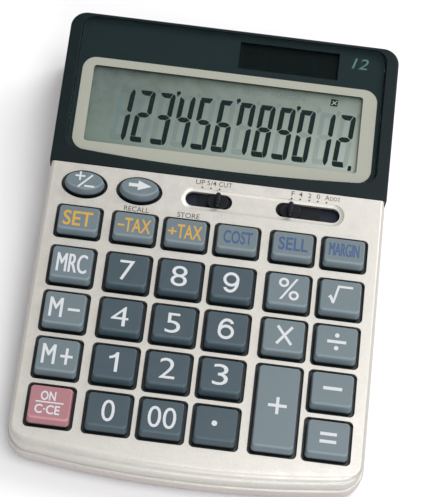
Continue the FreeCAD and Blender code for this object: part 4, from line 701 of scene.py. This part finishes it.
def key_cap(name, wide, long, is_oval=False):
    """A key of one kind, in millimetres, standing at the middle of the keyboard."""
    bpy.ops.object.select_all(action="DESELECT")
    if is_oval:
        bpy.ops.mesh.primitive_cylinder_add(vertices=80, radius=0.5, depth=1)
    else:
        bpy.ops.mesh.primitive_cube_add(size=1)
    piece = bpy.context.object
    piece.name = piece.data.name = name
    piece.scale = (wide * MM, long * MM, (cap_shoulder - flange_top) * MM)
    piece.location.z = (cap_shoulder + flange_top) / 2 * MM
    bpy.ops.object.transform_apply(location=True, rotation=True, scale=True)
    bpy.ops.object.mode_set(mode="EDIT")
    if not is_oval:
        pick(piece, "EDGE", lambda centre, run: abs(run.z) > 0.9)
        bpy.ops.mesh.bevel(offset=corner_round * MM, segments=7, affect="EDGES")
    # The sides lean in and round over to the flat top, more softly at the front
    slope = (2.35, oval_lean if is_oval else side_lean, 1.65, 0.6)
    for rise, side, front, back in (slope, (0.33, 0.12, 0.35, 0.14), (0.12, 0.16, 0.4, 0.18)):
        pick(piece, "FACE", lambda centre, normal: normal.z > 0.9999)
        draw_out(piece, rise, side, (front + back) / 2, (front - back) / 2)
    pick(piece, "EDGE", lambda centre, run: abs(centre.z - cap_shoulder) < 0.01 and abs(run.z) < 0.01)
    bpy.ops.mesh.bevel(offset=shoulder_round * MM, segments=3, affect="EDGES")
    # The flange below the face and the hollow inside
    pick(piece, "FACE", lambda centre, normal: normal.z < -0.9)
    draw_out(piece, 0, -flange_wide, -flange_wide)
    draw_out(piece, cap_foot - flange_top)
    draw_out(piece, 0, hollow_inset, hollow_inset)
    draw_out(piece, hollow_roof - cap_foot)
    bpy.ops.mesh.select_all(action="SELECT")
    bpy.ops.mesh.normals_make_consistent(inside=False)
    bpy.ops.object.mode_set(mode="OBJECT")
    even_normals(piece, 50)
    return piece


def key_plastic(name, colour):
    """Satin key plastic, painted dark at the skirt and low sides as painted shade, and painted lighter where
    the top rounds over as a painted highlight.
    """
    material = finish_of(name, colour, 0.34, 0.3, 0.006, vary=0.05, gloss=0.38)
    tree = material.node_tree
    shader = tree.nodes["Principled BSDF"]
    height = tree.nodes.new("ShaderNodeAttribute")
    height.attribute_name = "height"
    base = shader.inputs["Base Color"].links[0].from_socket
    # Painted shade: up to just above the face the key is painted a dark teal-black, fading out higher up the
    # sides.
    painted_skirt_shade = ranged(tree, height.outputs["Fac"], 1.0, 0.0, 0.25, 0.95)
    # Painted highlight: the upper slopes and the rounding over to the flat top are painted lighter.
    rim = tree.nodes.new("ShaderNodeMapRange")
    rim.interpolation_type = "SMOOTHSTEP"
    link(tree, height.outputs["Fac"], rim.inputs["Value"])
    for place, value in (("From Min", 2.3), ("From Max", 2.95), ("To Min", 0.0), ("To Max", 1.0)):
        rim.inputs[place].default_value = value
    flat = ranged(tree, height.outputs["Fac"], 1.0, 0.0, 3.08, 3.2)
    edge = tree.nodes.new("ShaderNodeMath")
    edge.operation = "MULTIPLY"
    link(tree, rim.outputs["Result"], edge.inputs[0])
    link(tree, flat, edge.inputs[1])
    painted_rim_highlight = mixed(tree, edge.outputs["Value"], base, toned(colour, 1.55))
    link(tree, mixed(tree, painted_skirt_shade, painted_rim_highlight, linear(12, 24, 27)), shader.inputs["Base Color"])
    return material


columns = [-51.5, -30.0, -10.0, 10.0, 31.5, 51.5]
rows = [37.34, 18.67, 0.0, -18.67, -37.34]
square_key = key_cap("square_key", 16.0, 14.7)
short_key = key_cap("short_key", 16.0, 11.9)
tall_key = key_cap("tall_key", 16.0, 33.37)
oval_key = key_cap("oval_key", 15.8, 9.6, is_oval=True)
for kind in (square_key, short_key, tall_key, oval_key):
    heights = kind.data.attributes.new("height", "FLOAT", "POINT")
    heights.data.foreach_set("value", [corner.co.z / MM for corner in kind.data.vertices])

dark_key = key_plastic("dark_key", linear(54, 69, 77))
mid_key = key_plastic("mid_key", linear(95, 108, 114))
rose_key = key_plastic("rose_key", linear(151, 105, 111))

LAYOUT = [
    ("set", "tax_minus", "tax_plus", "cost", "sell", "margin"),
    ("memory_recall", "7", "8", "9", "percent", "root"),
    ("memory_minus", "4", "5", "6", "times", "divide"),
    ("memory_plus", "1", "2", "3", "plus", "minus"),
    ("clear", "0", "00", "point", "", "equals"),
]
DARK_KEYS = ("7", "8", "9", "4", "5", "6", "1", "2", "3", "0", "00", "point")
key_places = {"sign": (columns[0], oval_row, oval_key), "back_arrow": (columns[1], oval_row, oval_key)}
for row, names in zip(rows, LAYOUT):
    for column, name in zip(columns, names):
        if name:
            key_places[name] = (column, row, short_key if row == rows[0] else square_key)
key_places["plus"] = (columns[4], (rows[3] + rows[4]) / 2, tall_key)

for name, (x, y, kind) in key_places.items():
    key = kind.copy()
    key.data = kind.data.copy()
    key.name = key.data.name = f"cap_{name}"
    bpy.context.scene.collection.objects.link(key)
    key.data.transform(KEYBOARD @ Matrix.Translation((x * MM, y * MM, 0)))
    dress(key, rose_key if name == "clear" else dark_key if name in DARK_KEYS else mid_key)
    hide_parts(f"key_{name}")
    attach(key, f"key_{name}")
for kind in (square_key, short_key, tall_key, oval_key):
    bpy.data.objects.remove(kind)


# Legends: the key tops are printed in white, orange or blue ink, which stands a hair proud of
# them. Words come from plain lettering and signs from straight strokes, dots and outlines.
white_ink = finish_of("white_ink", linear(186, 189, 192), 0.5, 0.3, 0.003, vary=0.03)
orange_ink = finish_of("orange_ink", linear(180, 140, 47), 0.5, 0.3, 0.003, vary=0.05)
blue_ink = finish_of("blue_ink", linear(36, 68, 108), 0.5, 0.3, 0.003, vary=0.05)
face_print = finish_of("face_print", linear(62, 56, 38), 0.5, 0.3, 0.003, vary=0.08)
on_face = KEYBOARD @ Matrix.Translation((0, 0, 0.002 * MM))
on_keys = KEYBOARD @ Matrix.Translation((0, 0, (cap_top - 0.005) * MM))

# Words: key, text, middle, width, height and weight, in millimetres on the keyboard's plane
WORDS = [
    ("7", "7", (-30.4, 18.8), 5.65, 8.1, -0.004),
    ("8", "8", (-10.3, 19.15), 6.2, 8.3, -0.004),
    ("4", "4", (-30.5, 0.1), 6.6, 7.8, -0.006),
    ("5", "5", (-10.35, 0.0), 5.7, 7.9, -0.004),
    ("2", "2", (-10.3, -18.0), 6.0, 8.0, -0.004),
    ("3", "3", (9.6, -17.9), 5.8, 8.2, -0.004),
    ("0", "0", (-29.9, -37.05), 4.85, 8.3, 0.0),
    ("00", "00", (-9.95, -37.1), 10.5, 8.2, 0.0),
    ("memory_recall", "MRC", (-51.4, 19.0), 11.7, 7.7, -0.003),
    ("memory_minus", "M", (-54.75, 0.65), 5.1, 7.7, -0.003),
    ("memory_plus", "M", (-54.75, -18.05), 5.1, 7.7, -0.003),
    ("percent", "%", (31.65, 19.4), 8.1, 8.8, 0.0),
    ("set", "SET", (-51.8, 37.6), 11.3, 6.2, 0.014),
    ("tax_minus", "TAX", (-28.6, 37.6), 10.2, 5.8, 0.012),
    ("tax_plus", "TAX", (-8.5, 37.6), 9.6, 5.8, 0.012),
    ("cost", "COST", (10.2, 37.9), 11.2, 5.4, 0.02),
    ("sell", "SELL", (31.6, 37.95), 11.4, 5.5, 0.02),
    ("margin", "MARGIN", (51.3, 38.15), 11.8, 5.3, -0.002),
    ("clear", "ON", (-52.4, -34.3), 5.6, 3.6, 0.02),
    ("clear", "C·CE", (-52.15, -39.5), 9.3, 3.5, 0.02),
]
# Signs: strokes from point to point with a width, dots with a size, and outlines, on the same plane
SIGNS = {
    "sign": [((-53.73, 50.92), (-48.57, 56.47), 0.7), ((-51.3, 51.6), (-47.4, 51.6), 0.75)],
    "divide": [((47.9, 0.6), (55.1, 0.6), 1.15)],
    "minus": [((48.0, -17.9), (55.1, -17.9), 1.25)],
    "equals": [((48.4, -35.5), (54.6, -35.5), 1.2), ((48.4, -38.4), (54.6, -38.4), 1.2)],
    "memory_minus": [((-50.25, 0.25), (-45.7, 0.25), 1.0)],
    "tax_minus": [((-36.4, 37.3), (-33.8, 37.3), 0.75)],
    "clear": [((-56.8, -36.75), (-46.4, -36.75), 0.5)],
    "back_arrow": [((-34.25, 54.6), (-30.6, 54.6), 1.4)],
}
DOTS = {"divide": [(51.5, 3.15, 1.75), (51.5, -1.9, 1.75)], "point": [(9.4, -36.8, 2.1)]}
OUTLINES = {
    "1": [
        (-29.95, -21.9), (-28.75, -21.9), (-28.75, -14.2), (-29.65, -14.2), (-30.4, -15.2),
        (-31.3, -15.75), (-32.25, -16.0), (-32.25, -16.95), (-31.0, -16.7), (-29.95, -16.2),
    ],
    "root": [
        (46.75, 18.45), (47.85, 19.35), (48.75, 17.5), (50.15, 23.35), (55.9, 23.35), (55.9, 22.45),
        (50.85, 22.45), (49.2, 15.9), (48.3, 15.9), (47.3, 18.2), (47.0, 18.0),
    ],
    "back_arrow": [(-30.6, 52.55), (-25.4, 54.6), (-30.6, 56.65)],
    "sign": crossed((-53.35, 55.67), (1.93, 0), (0, 1.85), 0.7),
    "times": crossed((31.75, 0.65), (2.8, -3.55), (2.8, 3.55), 1.05),
    "plus": crossed((31.75, -27.1), (3.5, 0), (0, 3.3), 1.15),
    "memory_plus": crossed((-48.05, -18.4), (2.3, 0), (0, 3.2), 1.0),
    "tax_plus": crossed((-15.15, 37.3), (1.65, 0), (0, 1.5), 0.7),
}


def ink_of(name):
    """The ink of a key's legend."""
    if name in ("set", "tax_minus", "tax_plus"):
        return orange_ink
    return blue_ink if name in ("cost", "sell", "margin") else white_ink


def print_on_key(name, piece):
    """A legend takes its ink and moves with its key."""
    dress(piece, ink_of(name))
    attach(piece, f"key_{name}")


for name, text, middle, wide, high, weight in WORDS:
    # Words with an M are struck twice, a little apart, for their heavier strokes
    strikes = ((-0.17, 0.02, ""), (0.17, 0.016, "_again")) if "M" in text else ((0, 0.02, ""),)
    for shift, thick, again in strikes:
        word, place = f"word_{name}_{len(text)}{again}", (middle[0] + shift, middle[1])
        piece = lettering(word, text, place, wide - 2 * abs(shift), high, on_keys, weight, thick)
        print_on_key(name, piece)
for name in sorted(set(SIGNS) | set(DOTS) | set(OUTLINES)):
    shapes = bars_sign(SIGNS.get(name, [])) + [dot(*place) for place in DOTS.get(name, [])]
    if name in OUTLINES:
        shapes.append(OUTLINES[name])
    print_on_key(name, flat_shapes(f"sign_{name}", shapes, on_keys))


def arc(centre_x, centre_y, wide, high, start, end, steps=14):
    """Points along an ellipse between two angles, in degrees."""
    turns = [radians(start + (end - start) * step / steps) for step in range(steps + 1)]
    return [(centre_x + wide * cos(turn), centre_y + high * sin(turn)) for turn in turns]


def curled_figure(name, middle, turned):
    """A six with a curled tail, or the same turned half a turn for a nine, with an open bowl."""
    outer = arc(0.15, 1.95, 2.61, 2.18, 8, 90) + arc(0.15, -0.4, 3.16, 4.53, 92, 180)
    outer += arc(0.05, -1.25, 3.06, 2.89, 184, 484, 40)
    outer += arc(0.15, -0.4, 2.04, 3.41, 152, 92) + arc(0.15, 1.95, 1.49, 1.06, 90, 8)
    bowl = arc(0.05, -1.25, 1.94, 1.77, 0, 350, 35)
    flat = bpy.data.curves.new(name, "CURVE")
    flat.dimensions = "2D"
    flat.fill_mode = "BOTH"
    flat.extrude = 0.01
    for outline in (outer, bowl):
        spline = flat.splines.new("POLY")
        spline.points.add(len(outline) - 1)
        spline.points.foreach_set("co", [value for x, y in outline for value in (x, y, 0, 1)])
        spline.use_cyclic_u = True
    piece = bpy.data.objects.new(name, flat)
    bpy.context.scene.collection.objects.link(piece)
    only(piece)
    bpy.ops.object.convert(target="MESH")
    piece = bpy.context.object
    piece.data.name = name
    place = Matrix.Translation(Vector((middle[0], middle[1], 0.01)) * MM)
    turn = Matrix.Rotation(pi if turned else 0, 4, "Z")
    piece.data.transform(on_keys @ place @ turn @ Matrix.Scale(MM, 4))
    return piece


print_on_key("6", curled_figure("figure_six", (9.65, 0.35), False))
print_on_key("9", curled_figure("figure_nine", (9.6, 19.15), True))


# Print on the face, in a thin dark ink: the switch positions with a small dot below each, and the
# second names of two keys. Each word has its text, middle, width and height.
FACE_WORDS = [
    ("UP", (-6.7, 60.75), 3.6, 2.05),
    ("5/4", (-2.3, 60.75), 3.7, 2.05),
    ("CUT", (3.1, 60.75), 5.3, 2.05),
    ("F", (29.75, 60.7), 1.3, 2.0),
    ("4", (32.75, 60.7), 1.45, 2.0),
    ("2", (36.3, 60.7), 1.25, 2.0),
    ("0", (39.7, 60.7), 1.3, 2.0),
    ("A", (43.2, 60.7), 1.65, 2.0),
    ("DD2", (46.2, 60.5), 3.9, 1.6),
    ("RECALL", (-30.1, 45.85), 9.7, 2.1),
    ("STORE", (-9.8, 45.85), 8.7, 2.1),
]
for text, middle, wide, high in FACE_WORDS:
    word = lettering(f"face_{text.replace('/', '_')}", text, middle, wide, high, on_face, 0.004, 0.01)
    dress(word, face_print)
    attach(word, "case")
spots = [(x, 58.6) for x in (-5.8, -2.4, 1.0, 29.3, 32.7, 36.2, 39.6, 43.0)]
marks = flat_shapes("switch_dots", [dot(x, y, 0.75) for x, y in spots], on_face, 0.01)
dress(marks, face_print)
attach(marks, "case")


# Switches: in each slot a navy knob with a thin fin, moulded in one with a shutter that covers the
# slot to either side of it. Both slide on a navy plate, which shows at the far end of the slot.
knob_plastic = finish_of("knob_plastic", linear(10, 13, 21), 0.3, 0.3, 0.008, vary=0.1, gloss=0.2)
for name in ("rounding", "decimal"):
    knob = cast_of(f"{name}_knob", f"{name}_slider", smooth=40)
    dress(knob, knob_plastic)
    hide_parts(f"{name}_knob")
    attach(knob, f"{name}_switch")
plate_plastic = finish_of("plate_plastic", linear(16, 22, 36), 0.4, 0.3, 0.01, vary=0.08, gloss=0.2)
dress(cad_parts["switch_plate"], plate_plastic)


# Inside: boards, mat, rubber and metal, each in the finish that such a part has, though little of
# it shows. Each has a colour, a roughness and a share of metal.
INNER = {
    "main_board": (linear(40, 100, 66), 0.45, 0.0),
    "display_board": (linear(40, 100, 66), 0.45, 0.0),
    "controller_chip": (linear(18, 18, 20), 0.3, 0.0),
    "capacitor": (linear(60, 66, 110), 0.35, 0.3),
    "dome_mat": (linear(150, 152, 156), 0.7, 0.0),
    "key_guide": (linear(26, 30, 34), 0.6, 0.0),
    "contact_strips": (linear(44, 44, 48), 0.7, 0.0),
    "solar_leads": (linear(150, 36, 34), 0.5, 0.0),
    "ribbon_cable": (linear(150, 150, 152), 0.5, 0.0),
    "button_cell": (linear(190, 190, 192), 0.25, 1.0),
    "battery_contact_plus": (linear(190, 188, 182), 0.3, 1.0),
    "battery_contact_minus": (linear(190, 188, 182), 0.3, 1.0),
    "rounding_wiper": (linear(196, 160, 96), 0.3, 1.0),
    "decimal_wiper": (linear(196, 160, 96), 0.3, 1.0),
}
for node, (colour, rough, metal) in INNER.items():
    dress(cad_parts[node], finish_of(f"{node}_finish", colour, rough, 0.3, 0.01, vary=0.1, metal=metal))


# Studio: a white table under soft daylight that comes from behind and from the right, as in the
# photograph, so that the shadow falls to the left.
bpy.ops.object.select_all(action="DESELECT")
bpy.ops.mesh.primitive_plane_add(size=6)
table = bpy.context.object
table.name = "table"
table_white = bpy.data.materials.new("table_white")
table_white.use_nodes = True
tree = table_white.node_tree
tree.nodes["Principled BSDF"].inputs["Roughness"].default_value = 0.9
link(
    tree,
    mixed(tree, noise(tree, 60.0), linear(226, 226, 228), linear(231, 231, 232)),
    tree.nodes["Principled BSDF"].inputs["Base Color"],
)
dress(table, table_white)


def softbox(name, place, aim, size, power):
    """A soft rectangular light that faces a point."""
    bpy.ops.object.light_add(type="AREA", location=place)
    lamp = bpy.context.object
    lamp.name = name
    lamp.data.shape = "RECTANGLE"
    lamp.data.size, lamp.data.size_y = size
    lamp.data.energy = power
    lamp.rotation_euler = (Vector(aim) - Vector(place)).to_track_quat("-Z", "Y").to_euler()


softbox("key_light", (0.6, 0.75, 0.92), (0, 0, 0), (0.65, 0.65), 8)
softbox("top_light", (0.37, -0.08, 1.27), (0, 0, 0), (0.6, 0.6), 6)
softbox("rim_light", (0.25, -0.8, 0.95), (0, 0, 0), (0.3, 0.3), 2.6)
softbox("front_light", (0.3, -0.8, 0.15), (0, 0, 0), (0.9, 0.2), 2.1)
softbox("side_light", (0.9, 0.8, 0.62), (0, 0, 0), (0.5, 0.5), 2.6)
world = bpy.context.scene.world or bpy.data.worlds.new("studio")
bpy.context.scene.world = world
world.use_nodes = True
world.node_tree.nodes["Background"].inputs["Color"].default_value = (1, 1, 1, 1)
world.node_tree.nodes["Background"].inputs["Strength"].default_value = 0.6
bpy.context.scene.view_settings.view_transform = "Standard"
